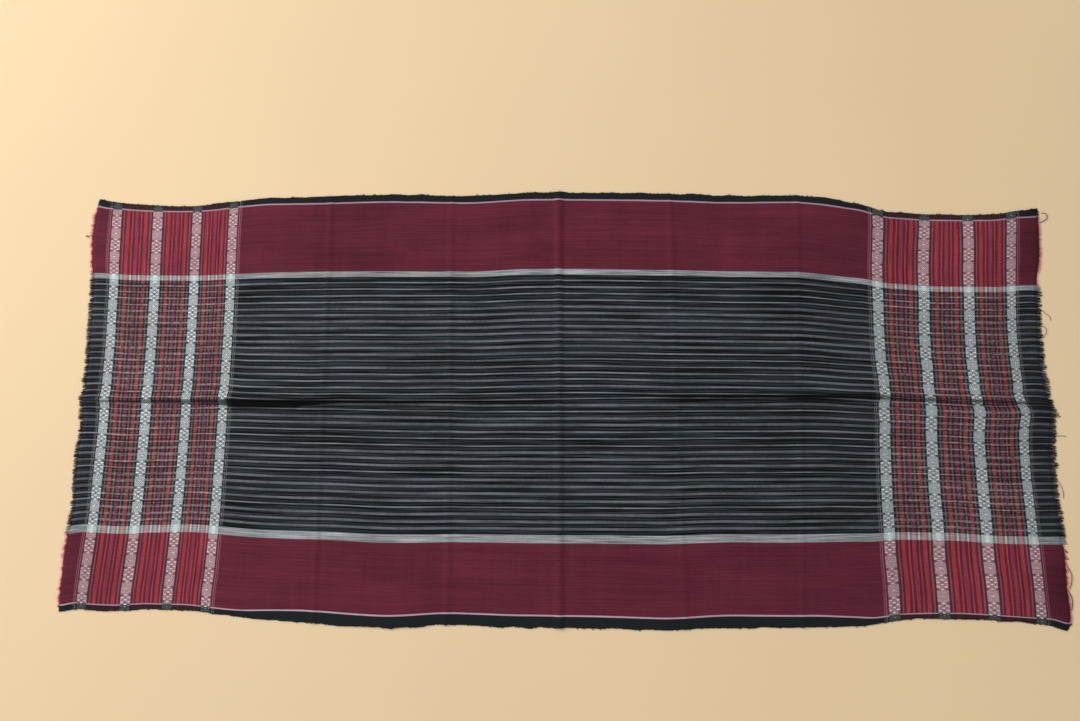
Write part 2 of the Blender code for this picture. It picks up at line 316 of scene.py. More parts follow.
LONE_THREADS = table(
    LoneThread,
    (End.RIGHT, 347, ((5, 1), (12, 4), (17, 9), (17.5, 14), (13.5, 18), (8, 18.5))),
    (End.RIGHT, 187, ((9, -2), (17, -9), (24, -15), (25, -21))),
    (End.RIGHT, 155, ((11, 0), (17, -6), (16, -13), (11, -20))), (End.RIGHT, 1, ((7, -1), (15, -3))),
    (End.RIGHT, -2, ((7, -1), (13, -2))), (End.RIGHT, -5, ((8, 0), (15, -1))),
    (End.RIGHT, -8, ((8, 0), (17, 1))), (End.RIGHT, -42, ((9, 0), (18, 1), (27, 0))),
    (End.RIGHT, -112, ((9, -7), (15, -17), (18, -29), (18, -38))),
    (End.RIGHT, -238, ((3, -1), (6, -3))), (End.RIGHT, -242, ((4, 0), (7, -1))),
    (End.RIGHT, -254, ((4, 0), (7.5, 1))),
    (End.RIGHT, -262, ((6.5, -9), (10.5, -20), (9.5, -32), (5.5, -42))),
    (End.RIGHT, -303, ((5, -8), (8.5, -18), (8.5, -28), (6, -38))),
    (End.LEFT, 305, ((5, -0.5), (10, -1), (13, -1.5))),
)


class WeftLook(NamedTuple):
    """A weft yarn's colour, in red, green and blue, where it crosses the maroon, grey and black warp."""

    over_maroon: tuple[int, int, int]
    over_grey: tuple[int, int, int]
    over_black: tuple[int, int, int]


class WeftYarn(Enum):
    """The yarns of the weft stripes. The outer pale stripes are thinner, so more of the warp shows."""

    BLACK = WeftLook((84, 36, 46), (112, 119, 116), (40, 37, 43))
    DARK = WeftLook((103, 30, 43), (106, 112, 109), (59, 40, 44))
    DEEP_RED = WeftLook((115, 30, 42), (112, 108, 106), (70, 40, 42))
    RED = WeftLook((150, 57, 64), (188, 127, 121), (135, 68, 66))
    PLUM = WeftLook((138, 54, 70), (174, 146, 150), (108, 60, 71))
    PALE = WeftLook((132, 71, 80), (202, 206, 200), (107, 90, 94))
    THIN_PALE = WeftLook((123, 77, 86), (178, 186, 182), (93, 86, 90))


class WeftStripe(NamedTuple):
    """A stripe of weft between two bands: where it starts, as a share of the gap, and its yarn."""

    start: float
    yarn: WeftYarn


WEFT_STRIPES = table(
    WeftStripe,
    (0, WeftYarn.BLACK), (0.165, WeftYarn.THIN_PALE), (0.198, WeftYarn.DARK), (0.242, WeftYarn.RED),
    (0.322, WeftYarn.DEEP_RED), (0.376, WeftYarn.PALE), (0.412, WeftYarn.DARK), (0.458, WeftYarn.PLUM),
    (0.54, WeftYarn.DARK), (0.588, WeftYarn.PALE), (0.618, WeftYarn.DARK), (0.668, WeftYarn.RED),
    (0.754, WeftYarn.DARK), (0.8, WeftYarn.THIN_PALE), (0.836, WeftYarn.BLACK),
)

# One repeat of the brocade, from the near side to the far: a run of # is one white float, . bare ground,
# - ground with a few small floats, = small floats that read as light grey
BROCADE_CHART = (
    "..-###-..",
    "###---###",
    "=--###--=",
    "###-.-###",
    "=--###--=",
    "###---###",
    "..-###-..",
    "=========",
    "=========",
    "===###===",
    "=========",
    "=========",
)

# How much of the ground the small floats cover, by the chart's signs
GROUND_COVERS = {"#": 0.52, ".": 0.10, "-": 0.42, "=": 0.62}


@dataclass(frozen=True)
class Weave:
    """The sizes of the cloth and its weave, in millimetres, and the stripes as shares of the half width."""

    half_length: float = 870.0
    half_width: float = 388.0
    thickness: float = 1.2
    far_flank: float = 22.0
    near_flank: float = 11.0
    field: tuple[float, float] = (-0.594, 0.600)
    grey_bands: tuple[float, float] = (-0.630, 0.626)
    maroon: tuple[float, float] = (-0.944, 0.960)
    white_lines: tuple[float, float] = (-0.951, 0.967)
    narrow_selvedge: tuple[float, float] = (-0.976, 0.969)
    corner_selvedge: tuple[float, float] = (-0.968, 0.960)
    selvedge_wave: float = 1.3
    selvedge_narrows: tuple[float, float] = (430.0, 600.0)
    selvedge_corner: tuple[float, float] = (815.0, 866.0)
    stripe_pitch: float = 11.94
    first_stripe: float = -220.0
    stripe_count: int = 38
    band_share: float = 0.118
    brocade_columns: int = 9
    brocade_row: float = 3.95
    bend_ends: float = 400.0
    fold_to_grey: float = 232.0
    warp_pitch: float = 0.85
    weft_pitch: float = 1.1
    band_gap: float = 75.0
    check: float = 1.9


def noise_curve(places: np.ndarray, wavelength: float, seed: int) -> np.ndarray:
    """A smooth random curve: random values one wavelength apart, joined with cosine steps.

    Args:
        places: Where the curve is wanted.
        wavelength: The distance from one random value to the next.
        seed: The number that picks the random values.

    Returns:
        The curve's values, from -1 to 1.
    """
    values = np.random.default_rng(seed).uniform(-1, 1, 4096)
    at = places / wavelength + 2048
    first = np.floor(at).astype(int)
    blend = (1 - np.cos((at - first) * math.pi)) / 2
    return values[first] * (1 - blend) + values[first + 1] * blend


def noise_field(along: np.ndarray, across: np.ndarray, wavelength: float, seed: int) -> np.ndarray:
    """A smooth random surface from -1 to 1: random values on a square lattice, eased between its corners."""
    values = np.random.default_rng(seed).uniform(-1, 1, (512, 512))
    x, y = along / wavelength + 256, across / wavelength + 256
    i, j = np.floor(x).astype(int), np.floor(y).astype(int)
    a, b = ease(x - i), ease(y - j)
    near = values[i, j] * (1 - a) + values[i + 1, j] * a
    far = values[i, j + 1] * (1 - a) + values[i + 1, j + 1] * a
    return near * (1 - b) + far * b


def ease(share: np.ndarray) -> np.ndarray:
    """The cubic that runs from 0 to 1 with level ends."""
    share = np.clip(share, 0.0, 1.0)
    return share * share * (3 - 2 * share)


def ridge(distance: np.ndarray, width: float | np.ndarray) -> np.ndarray:
    """A soft ridge, 1 at its crest and 0 from one width away: the square of a cosine."""
    share = np.clip(np.abs(distance) / width, 0.0, 1.0)
    return np.cos(share * math.pi / 2) ** 2


def within(patch: NamedTuple, along: np.ndarray, across: np.ndarray) -> np.ndarray:
    """How far places lie from the middle of a turned oval patch, 1 being its rim."""
    turn = math.radians(patch.turn_deg)
    out, aside = along - patch.along, across - patch.across
    lengthwise = (out * math.cos(turn) + aside * math.sin(turn)) / patch.half_length
    crosswise = (aside * math.cos(turn) - out * math.sin(turn)) / patch.half_width
    return np.hypot(lengthwise, crosswise)


def column(rows: tuple, name: str) -> np.ndarray:
    """One named column of a table."""
    return np.array([getattr(row, name) for row in rows], float)


def bands_of(rows: tuple, wanted: np.ndarray) -> list[np.ndarray]:
    """Where an end's four bands lie, on smooth curves through its table."""
    return [curve(rows, name, wanted) for name in BandLines._fields[1:]]


def curve(rows: tuple, name: str, wanted: np.ndarray) -> np.ndarray:
    """One column of a table, on a smooth curve over the table's first column."""
    return smooth_curve(column(rows, rows[0]._fields[0]), column(rows, name), wanted)


def smooth_curve(places: np.ndarray, values: np.ndarray, wanted: np.ndarray) -> np.ndarray:
    """A curve through a table's values, with a cubic from row to row and slopes that never overshoot."""
    wanted = np.clip(wanted, places[0], places[-1])
    steps = np.diff(places)
    slopes = np.diff(values) / steps
    tangents = np.zeros_like(values)
    same_way = slopes[:-1] * slopes[1:] > 0
    tangents[1:-1][same_way] = (
        2 * (slopes[:-1] * slopes[1:])[same_way] / (slopes[:-1] + slopes[1:])[same_way]
    )
    tangents[0], tangents[-1] = slopes[0], slopes[-1]
    at = np.clip(np.searchsorted(places, wanted) - 1, 0, len(steps) - 1)
    step = steps[at]
    t = (wanted - places[at]) / step
    return (
        values[at] * (1 + 2 * t) * (1 - t) ** 2
        + tangents[at] * step * t * (1 - t) ** 2
        + values[at + 1] * t**2 * (3 - 2 * t)
        + tangents[at + 1] * step * t**2 * (t - 1)
    )


class ClothPlan:
    """Where each thread of the cloth lies. Lengthwise and crosswise are millimetres counted in the weave."""

    def __init__(self, weave: Weave) -> None:
        """Keeps the weave's sizes and finds the shift from the tables' middle to the frame's origin."""
        self.weave = weave
        left = (-weave.half_length, *STRAIGHT_LEFT[1:], -weave.bend_ends)
        self.knots = np.array([*left, weave.bend_ends, *STRAIGHT_RIGHT[1:], weave.half_length])
        self.band_numbers = np.array(KNOT_NUMBERS)
        self.shift = self._shift_to_frame()

    def _shift_to_frame(self) -> np.ndarray:
        """The middle of the cloth's solid less the middle of the outline here, in millimetres."""
        low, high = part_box("cloth")
        along = np.linspace(SELVEDGES[0].along, SELVEDGES[-1].along, 2000)
        across = np.linspace(WOVEN_ENDS[0].across, WOVEN_ENDS[-1].across, 1000)
        left, right = self.woven_end(End.LEFT, across), self.woven_end(End.RIGHT, across)
        here = np.array([
            (left.min() + right.max()) / 2,
            (self.edge(Edge.FAR, along).max() + self.edge(Edge.NEAR, along).min()) / 2,
        ])
        return np.array([(low.x + high.x) / 2, (low.y + high.y) / 2]) / MM - here

    def edge(self, which: Edge, along: np.ndarray) -> np.ndarray:
        """Where a selvedge lies across the floor at these places along the cloth."""
        return curve(SELVEDGES, which.name.lower(), along)

    def bulge(self, which: Edge, along: np.ndarray) -> np.ndarray:
        """How far a selvedge bulges out past its line, in waves and small bumps."""
        seed = 11 + which.value
        bumps = 0.5 * noise_curve(along, 7.0, seed) + 0.3 * noise_curve(along, 2.9, seed + 20)
        return bumps + self.weave.selvedge_wave * noise_curve(along, 24.0, seed + 40)

    def woven_end(self, end: End, across: np.ndarray) -> np.ndarray:
        """Where the last weft of an end lies along the floor."""
        return curve(WOVEN_ENDS, end.name.lower(), across)

    def crest(self, along: np.ndarray) -> np.ndarray:
        """Where the lengthwise fold's crest lies across the floor."""
        return curve(LENGTHWISE_CREASE, "across", along)

    def lift(self, along: np.ndarray, across: np.ndarray) -> np.ndarray:
        """How far the underside stands off the floor: the tallest fold there, and any swell under it."""
        off_crest = across - self.crest(along)
        flank = np.where(off_crest > 0, self.weave.far_flank, self.weave.near_flank)
        height = curve(LENGTHWISE_CREASE, "rise", along) * ridge(off_crest, flank)
        for fold in CROSSWISE_CREASES:
            off = self.off_fold(fold, along, across)
            height = np.maximum(height, fold.rise * ridge(off, fold.half_width))
        for swell in SWELLS:
            height = height + swell.rise * ridge(within(swell, along, across), 1.0)
        broad, small = noise_field(along, across, 46.0, 5), noise_field(along, across, 17.0, 6)
        return height + (0.16 * (broad + 1) + 0.07 * (small + 1))

    def off_fold(self, fold: CrosswiseCrease, along: np.ndarray, across: np.ndarray) -> np.ndarray:
        """How far beyond a crosswise fold line these places lie."""
        toward_near = np.clip(0.5 - across / (2 * self.weave.half_width), 0.0, 1.0)
        return along - (fold.at_far_edge + fold.slant * toward_near)

    def bend(self, lengthwise: np.ndarray, across: np.ndarray) -> np.ndarray:
        """How far the weft that was beaten in straight at this length has moved along the floor.

        The bands and the raw ends are measured lines. The weft between two of them moves by a mean of
        the two lines' moves, weighted by how near it lies to each.
        """
        lines = [
            self.woven_end(End.LEFT, across),
            *bands_of(LEFT_BANDS, across),
            *(np.full_like(across, place) for place in (-self.weave.bend_ends, self.weave.bend_ends)),
            *bands_of(RIGHT_BANDS, across),
            self.woven_end(End.RIGHT, across),
        ]
        total = np.zeros_like(across)
        for number, line in enumerate(lines):
            hat = np.zeros(len(self.knots))
            hat[number] = 1.0
            total = total + np.interp(lengthwise, self.knots, hat) * (line - self.knots[number])
        return total

    def _line_share(self, along: np.ndarray, which: Edge) -> np.ndarray:
        """The share of the half width at which the white line by a selvedge lies on the floor."""
        side = 1 if which is Edge.FAR else 0
        narrow, corner = (
            ease((np.abs(along) - start) / (stop - start))
            for start, stop in (self.weave.selvedge_narrows, self.weave.selvedge_corner)
        )
        wide = (self.weave.maroon[side] + self.weave.white_lines[side]) / 2
        drawn_in, at_corner = self.weave.narrow_selvedge[side], self.weave.corner_selvedge[side]
        return wide + (drawn_in - wide) * narrow + (at_corner - drawn_in) * corner

    def settled(self, share: np.ndarray, along: np.ndarray, back: bool = False) -> np.ndarray:
        """The share of the half width on the floor for a share in the weave, or back again.

        The selvedges are drawn in narrow near the ends, so the maroon borders are wider there. Both are
        stretched evenly, from the grey band to the white line and from the white line to the edge.
        """
        result = share.copy()
        for which, side in ((Edge.NEAR, 0), (Edge.FAR, 1)):
            inner = self.weave.grey_bands[side]
            woven = (self.weave.maroon[side] + self.weave.white_lines[side]) / 2
            lying = self._line_share(along, which)
            start, stop = (lying, woven) if back else (woven, lying)
            border = inner + (share - inner) * (stop - inner) / (start - inner)
            rim = which.value - (which.value - share) * (which.value - stop) / (which.value - start)
            sign = which.value
            result = np.where(share * sign > inner * sign, border, result)
            result = np.where(share * sign > start * sign, rim, result)
        return result

    def _sides(self, along: np.ndarray) -> tuple[np.ndarray, np.ndarray]:
        """The middle line and the half width at these places along the cloth."""
        far, near = self.edge(Edge.FAR, along), self.edge(Edge.NEAR, along)
        return (far + near) / 2, (far - near) / 2

    def fold_line(self, along: np.ndarray) -> tuple[np.ndarray, np.ndarray, np.ndarray]:
        """The reach of the lengthwise fold's painted shadow line above and below its crest, and how dark it
        is.
        """
        places, *parts = (column(FOLD_SHADES, name) for name in FoldShade._fields)
        above, below, depth = (np.interp(along, places, part) for part in parts)
        return above, below, depth

    def pull(self, along: np.ndarray, across: np.ndarray) -> np.ndarray:
        """How far the warp at these places lies toward the near side of an even lay.

        It changes evenly from a grey band to the lengthwise fold, and quickly within the fold's dark line,
        where some cloth is tucked away. Past the grey bands it dies out evenly, up to the white lines.
        """
        far_band, beyond_fold, before_fold, near_band = (
            curve(THREAD_PULLS, name, along) for name in ThreadPull._fields[1:]
        )
        above, below, _ = self.fold_line(along)
        off_crest = across - self.crest(along)
        out = np.clip(np.abs(off_crest) / self.weave.fold_to_grey, 0.0, 1.0)
        far = beyond_fold + (far_band - beyond_fold) * out
        near = before_fold + (near_band - before_fold) * out
        over_crest = ease((off_crest + below + 1) / (above + below + 2))
        middle, half = self._sides(along)
        grey, white = self.weave.grey_bands[1], self.weave.maroon[1]
        fade = np.clip((white - np.abs(across - middle) / half) / (white - grey), 0.0, 1.0)
        return (near + (far - near) * over_crest) * fade

    def place(
        self, lengthwise: np.ndarray, share: np.ndarray, steps: int = 16, pace: float = 0.42
    ) -> tuple[np.ndarray, np.ndarray]:
        """Where threads cross on the floor, found by closing in on the place step by step.

        Args:
            lengthwise: How far along the weave, from -870 to 870, or a little past that for a raw end.
            share: How far across the weave, from -1 at the near selvedge to 1 at the far one.
            steps: How many steps are taken.
            pace: The share of what is left that a step moves across the cloth.

        Returns:
            The places along and across the floor, in the tables' millimetres.
        """
        along = lengthwise
        across = share * self.weave.half_width
        for _ in range(steps):
            middle, half = self._sides(along)
            even = middle + self.settled(share, along) * half
            across = across + pace * (even - self.pull(along, across) - across)
            along = lengthwise + self.bend(lengthwise, across)
        return along, across

    def woven_share(self, along: np.ndarray, across: np.ndarray) -> np.ndarray:
        """The share of the half width in the weave for places on the floor."""
        middle, half = self._sides(along)
        return self.settled((across + self.pull(along, across) - middle) / half, along, back=True)

    def shade(self, along: np.ndarray, across: np.ndarray) -> np.ndarray:
        """How much darker the cloth is painted on its folds and marks, mostly as painted shade.

        The lengthwise fold has a painted shadow line with sharp sides, whose reach comes from its own table.
        The crosswise folds get thin soft lines of painted shade, and the marks are soft ovals: painted
        shadows along the wrinkles, and broad darker or lighter patches.
        """
        above, below, depth = self.fold_line(along)
        waver = 1 + 0.05 * noise_curve(along, 9.0, 15) + 0.16 * noise_curve(along, 43.0, 16)
        off_crest = across - self.crest(along)
        top = ease((above * waver - off_crest) / 1.5 + 0.5)
        dark = depth * top * ease((off_crest + below * waver) / 2.0 + 0.5)
        for fold in CROSSWISE_CREASES:
            off = self.off_fold(fold, along, across)
            dark = np.maximum(dark, fold.depth * ridge(off - 1.0, 3.4))
        for mark in MARKS:
            dark = dark + mark.depth * ridge(within(mark, along, across), 1.0) * (1 - dark)
        return np.clip(dark, -0.5, 0.97)

    def normal(self, along: np.ndarray, across: np.ndarray) -> np.ndarray:
        """The upward normals of the cloth, from the lift half a millimetre to each side."""
        slope_x = self.lift(along + 0.5, across) - self.lift(along - 0.5, across)
        slope_y = self.lift(along, across + 0.5) - self.lift(along, across - 0.5)
        normal = np.stack([-slope_x, -slope_y, np.ones_like(slope_x)], axis=-1)
        return normal / np.linalg.norm(normal, axis=-1, keepdims=True)

    def points(self, along: np.ndarray, across: np.ndarray, height: np.ndarray) -> np.ndarray:
        """Places in the tables' millimetres as points in the frame, in metres."""
        return np.stack([along + self.shift[0], across + self.shift[1], height], axis=-1) * MM

    def on_top(self, along: np.ndarray, across: np.ndarray, above: np.ndarray) -> np.ndarray:
        """Points in the frame that stand this far above the upper face, square to it."""
        normal = self.normal(along, across)
        up = (self.weave.thickness + above)[..., None] * normal
        lift = self.lift(along, across)
        return self.points(along + up[..., 0], across + up[..., 1], lift + up[..., 2])

    def band_place(self, lengthwise: np.ndarray, share: np.ndarray) -> np.ndarray:
        """The two pattern coordinates of the bands, on the last axis.

        The first is a whole number at each band's middle, 0 to 3 at the left end and 10 to 13 at the
        right one. The second counts the brocade's rows from the near grey band.
        """
        number = np.interp(lengthwise, self.knots, self.band_numbers)
        row = (share - self.weave.field[0]) * self.weave.half_width / self.weave.brocade_row
        return np.stack([number, row + self.row_start(np.round(number))], axis=-1)

    def row_start(self, number: np.ndarray) -> np.ndarray:
        """How many rows a band's brocade runs ahead of the others."""
        return np.round(1.6 * np.sin(number * 2.3 + 0.4))


def new_object(name: str, points: np.ndarray, faces: list, smooth: bool = True) -> bpy.types.Object:
    """A mesh object at the origin, from points in the frame and lists of corner numbers."""
    mesh = bpy.data.meshes.new(name)
    mesh.from_pydata(points.reshape(-1, 3).tolist(), [], faces)
    mesh.validate()
    if smooth:
        mesh.shade_smooth()
    return in_scene(name, mesh)


def in_scene(name: str, data: bpy.types.ID) -> bpy.types.Object:
    """An object for a mesh, a camera or a light, linked into the scene."""
    made = bpy.data.objects.new(name, data)
    bpy.context.scene.collection.objects.link(made)
    return made


def add_uv(piece: bpy.types.Object, name: str, values: np.ndarray) -> None:
    """Gives a piece a UV map from two numbers for each of its points."""
    mesh = piece.data
    corners = np.empty(len(mesh.loops), np.int32)
    mesh.loops.foreach_get("vertex_index", corners)
    layer = mesh.uv_layers.new(name=name)
    layer.uv.foreach_set("vector", values.reshape(-1, 2)[corners].astype(np.float32).ravel())


def add_number(piece: bpy.types.Object, name: str, values: np.ndarray) -> None:
    """Gives a piece an attribute of one number for each of its points."""
    numbers = piece.data.attributes.new(name, "FLOAT", "POINT")
    numbers.data.foreach_set("value", values.astype(np.float32).ravel())


def quads(*corners: np.ndarray) -> np.ndarray:
    """Four-sided faces, from the numbers of their first corners, of their second ones, and so on."""
    return np.stack([corner.ravel() for corner in corners], axis=-1)


def grid_faces(rows: int, columns: int) -> np.ndarray:
    """The faces of a grid whose points are numbered along its columns first."""
    numbers = np.arange(rows * columns).reshape(rows, columns)
    return quads(numbers[:-1, :-1], numbers[1:, :-1], numbers[1:, 1:], numbers[:-1, 1:])


def tubes(paths: np.ndarray, radii: np.ndarray, sides: int) -> tuple[np.ndarray, list]:
    """Closed tubes along many paths at once: at each station, a ring of points square to the path.

    Args:
        paths: Points by tube and station, the last axis being x, y, z.
        radii: A radius by tube and station.
        sides: How many points a ring has.

    Returns:
        The points by tube, station and side, and the faces.
    """
    tangent = np.gradient(paths, axis=1)
    tangent /= np.linalg.norm(tangent, axis=-1, keepdims=True) + 1e-12
    aside = np.cross(tangent, np.array([0.0, 0.0, 1.0]))
    aside /= np.linalg.norm(aside, axis=-1, keepdims=True) + 1e-12
    upward = np.cross(aside, tangent)
    angles = np.arange(sides) * 2 * math.pi / sides + math.pi / 2
    ring = aside[:, :, None] * np.cos(angles)[:, None] + upward[:, :, None] * np.sin(angles)[:, None]
    points = paths[:, :, None] + ring * radii[:, :, None, None]
    count, stations = paths.shape[:2]
    numbers = np.arange(count * stations * sides).reshape(count, stations, sides)
    turned = np.roll(numbers, -1, axis=2)
    walls = quads(numbers[:, :-1], turned[:, :-1], turned[:, 1:], numbers[:, 1:])
    faces = walls.tolist() + numbers[:, 0, ::-1].tolist() + numbers[:, -1].tolist()
    return points, faces


def seen(red: int, green: int, blue: int) -> Colour:
    """The linear colour of a yarn that looks like this in 8-bit sRGB under the studio's light."""
    shares = [step / 255 for step in (red, green, blue)]
    linear = [s / 12.92 if s <= 0.04045 else ((s + 0.055) / 1.055) ** 2.4 for s in shares]
    return (*linear, 1.0)


@dataclass(frozen=True)
class Dyes:
    """The colours of the yarns, as they look in the studio's light."""

    black: Colour = seen(29, 32, 37)
    brown_black: Colour = seen(32, 32, 37)
    green_black: Colour = seen(27, 34, 38)
    selvedge_black: Colour = seen(24, 30, 33)
    maroon: Colour = seen(94, 34, 49)
    maroon_fuzz: Colour = seen(220, 108, 118)
    maroon_tips: Colour = seen(246, 186, 178)
    grey: Colour = seen(149, 154, 156)
    near_line: Colour = seen(180, 150, 160)
    far_line: Colour = seen(164, 136, 148)
    stripe: Colour = seen(146, 150, 160)
    stripe_over_weft: Colour = seen(194, 180, 180)
    line_over_maroon: Colour = seen(158, 106, 118)
    line_over_black: Colour = seen(124, 126, 128)
    float_white: Colour = seen(230, 233, 232)
    float_over_maroon: Colour = seen(228, 206, 208)
    small_float_black: Colour = seen(190, 198, 200)
    small_float_maroon: Colour = seen(192, 164, 168)
    ground_black: Colour = seen(50, 56, 60)
    ground_maroon: Colour = seen(102, 56, 66)
    ground_grey: Colour = seen(150, 168, 160)
    mint_white: Colour = seen(196, 216, 207)
    ground_selvedge: Colour = seen(30, 37, 39)
    loose_thread: Colour = seen(82, 66, 60)
    loose_maroon: Colour = seen(106, 54, 54)


@dataclass(frozen=True)
class YarnFinish:
    """How a yarn takes the light. The relief has a strength, and a depth in metres.

    The crown of a thread is smoother than its sides, and roughness is the value two thirds of the way up.
    """

    name: str
    roughness: float = 0.88
    crown_polish: float = 0.06
    sheen: float = 0.02
    sheen_roughness: float = 0.55
    specular: float = 0.12
    relief: float = 0.5
    relief_depth: float = 0.00022


class NodeSketch:
    """A node tree that is being drawn up, with short calls for the nodes that the finishes use."""

    def __init__(self, tree: bpy.types.NodeTree) -> None:
        """Keeps the tree."""
        self.tree = tree

    def feed(self, socket: Socket, value: object) -> None:
        """Links a socket to an input, or sets the input's own value."""
        if isinstance(value, bpy.types.NodeSocket):
            self.tree.links.new(value, socket)
        else:
            socket.default_value = value

    def node(self, kind: str, *values: object, **settings: object) -> bpy.types.Node:
        """A shader node with its settings, and its first inputs fed in order. None leaves one alone."""
        made = self.tree.nodes.new("ShaderNode" + kind)
        for name, value in settings.items():
            setattr(made, name, value)
        for socket, value in zip(made.inputs, values):
            if value is not None:
                self.feed(socket, value)
        return made

    def math(self, operation: str, *values: object, clamp: bool = False) -> Socket:
        """The result of a Math node."""
        return self.node("Math", *values, operation=operation, use_clamp=clamp).outputs[0]

    def plus(self, first: object, second: object, clamp: bool = False) -> Socket:
        """The sum of two values."""
        return self.math("ADD", first, second, clamp=clamp)

    def minus(self, first: object, second: object, clamp: bool = False) -> Socket:
        """The difference of two values."""
        return self.math("SUBTRACT", first, second, clamp=clamp)

    def times(self, first: object, second: object, clamp: bool = False) -> Socket:
        """The product of two values."""
        return self.math("MULTIPLY", first, second, clamp=clamp)

    def scaled(self, value: object, factor: object, add: object = 0.0) -> Socket:
        """A value times a factor, plus another."""
        return self.math("MULTIPLY_ADD", value, factor, add)

    def noise(self, x: object, y: object, z: float = 0.0, detail: float = 2.0) -> Socket:
        """Soft noise around 0.5, whose grain is about one unit of the numbers fed to it."""
        made = self.node("TexNoise", self.node("CombineXYZ", x, y, z).outputs[0])
        made.inputs["Scale"].default_value = 1.0
        made.inputs["Detail"].default_value = detail
        return made.outputs[0]

    def grain(
        self, x: object, y: object, fine: tuple[float, float], layer: float = 0.0, detail: float = 2.0
    ) -> Socket:
        """Soft noise with this many grains in a unit of x and of y, from its own layer of the noise."""
        return self.noise(self.scaled(x, fine[0]), self.scaled(y, fine[1]), layer, detail)

    def blend(self, amount: object, first: object, second: object, how: str = "MIX") -> Socket:
        """One colour mixed into another."""
        made = self.node("Mix", data_type="RGBA", blend_type=how)
        for number, value in ((0, amount), (6, first), (7, second)):
            self.feed(made.inputs[number], value)
        return made.outputs[2]

    def tint(self, colour: object, tone: object) -> Socket:
        """A colour times a tone."""
        return self.blend(1.0, colour, tone, "MULTIPLY")

    def span(
        self, value: object, start: object, stop: object, low: float = 0.0, high: float = 1.0
    ) -> Socket:
        """A value eased from low to high while the one it follows goes from start to stop."""
        ends = (value, start, stop, low, high)
        return self.node("MapRange", *ends, interpolation_type="SMOOTHSTEP").outputs[0]

    def inside(self, value: object, start: float, stop: float, soft: float) -> Socket:
        """1 between two borders and 0 outside them, with soft edges."""
        past_start = self.span(value, start - soft, start + soft)
        return self.times(past_start, self.span(value, stop - soft, stop + soft, 1.0, 0.0))

    def steps(self, value: object, starts: list[float], colours: list[Colour]) -> Socket:
        """A colour that changes at once where the value passes each start."""
        ramp = self.node("ValToRGB", value)
        ramp.color_ramp.interpolation = "CONSTANT"
        stops = ramp.color_ramp.elements
        stops.remove(stops[1])
        for number, (start, colour) in enumerate(zip(starts, colours)):
            stop = stops[0] if number == 0 else stops.new(start)
            stop.color = colour
        return ramp.outputs["Color"]

    def pair(self, vector: Socket) -> tuple[Socket, Socket]:
        """The first two numbers of a vector."""
        parts = self.node("SeparateXYZ", vector)
        return parts.outputs[0], parts.outputs[1]

    def uv(self, name: str) -> tuple[Socket, Socket]:
        """The two numbers of one of the piece's UV maps."""
        return self.pair(self.node("UVMap", uv_map=name).outputs[0])

    def place(self) -> tuple[Socket, Socket]:
        """The place along X and Y on the piece itself."""
        return self.pair(self.node("TexCoord").outputs["Object"])

    def attribute(self, name: str) -> Socket:
        """The value of one of the piece's own attributes."""
        return self.node("Attribute", attribute_name=name).outputs["Fac"]

    def use(self, group: bpy.types.NodeTree, **inputs: object) -> dict[str, Socket]:
        """The outputs of a group by name, with its inputs fed."""
        made = self.node("Group", node_tree=group)
        for name, value in inputs.items():
            self.feed(made.inputs[name], value)
        return {socket.name: socket for socket in made.outputs}

    def give(self, **outputs: object) -> bpy.types.NodeTree:
        """The group that is drawn up here, with its outputs fed."""
        end = self.tree.nodes.new("NodeGroupOutput")
        for name, value in outputs.items():
            self.feed(end.inputs[name], value)
        return self.tree


def new_group(name: str, inputs: str, outputs: str) -> tuple[NodeSketch, dict[str, Socket]]:
    """An empty shader node group. Its sockets are listed by name, with a space between two names.

    Args:
        name: The group's name.
        inputs: The inputs. Colour is a colour, and the others are numbers.
        outputs: The outputs, in the same way.

    Returns:
        A sketch of the group, and its input values by name.
    """
    tree = bpy.data.node_groups.new(name, "ShaderNodeTree")
    for way, titles in (("INPUT", inputs), ("OUTPUT", outputs)):
        for title in titles.split():
            kind = "NodeSocketColor" if title == "Colour" else "NodeSocketFloat"
            tree.interface.new_socket(title, in_out=way, socket_type=kind)
    entry = tree.nodes.new("NodeGroupInput")
    return NodeSketch(tree), {title: entry.outputs[title] for title in inputs.split()}


def new_material(name: str) -> NodeSketch:
    """A sketch of a new material's tree."""
    made = bpy.data.materials.new(name)
    made.use_nodes = True
    return NodeSketch(made.node_tree)


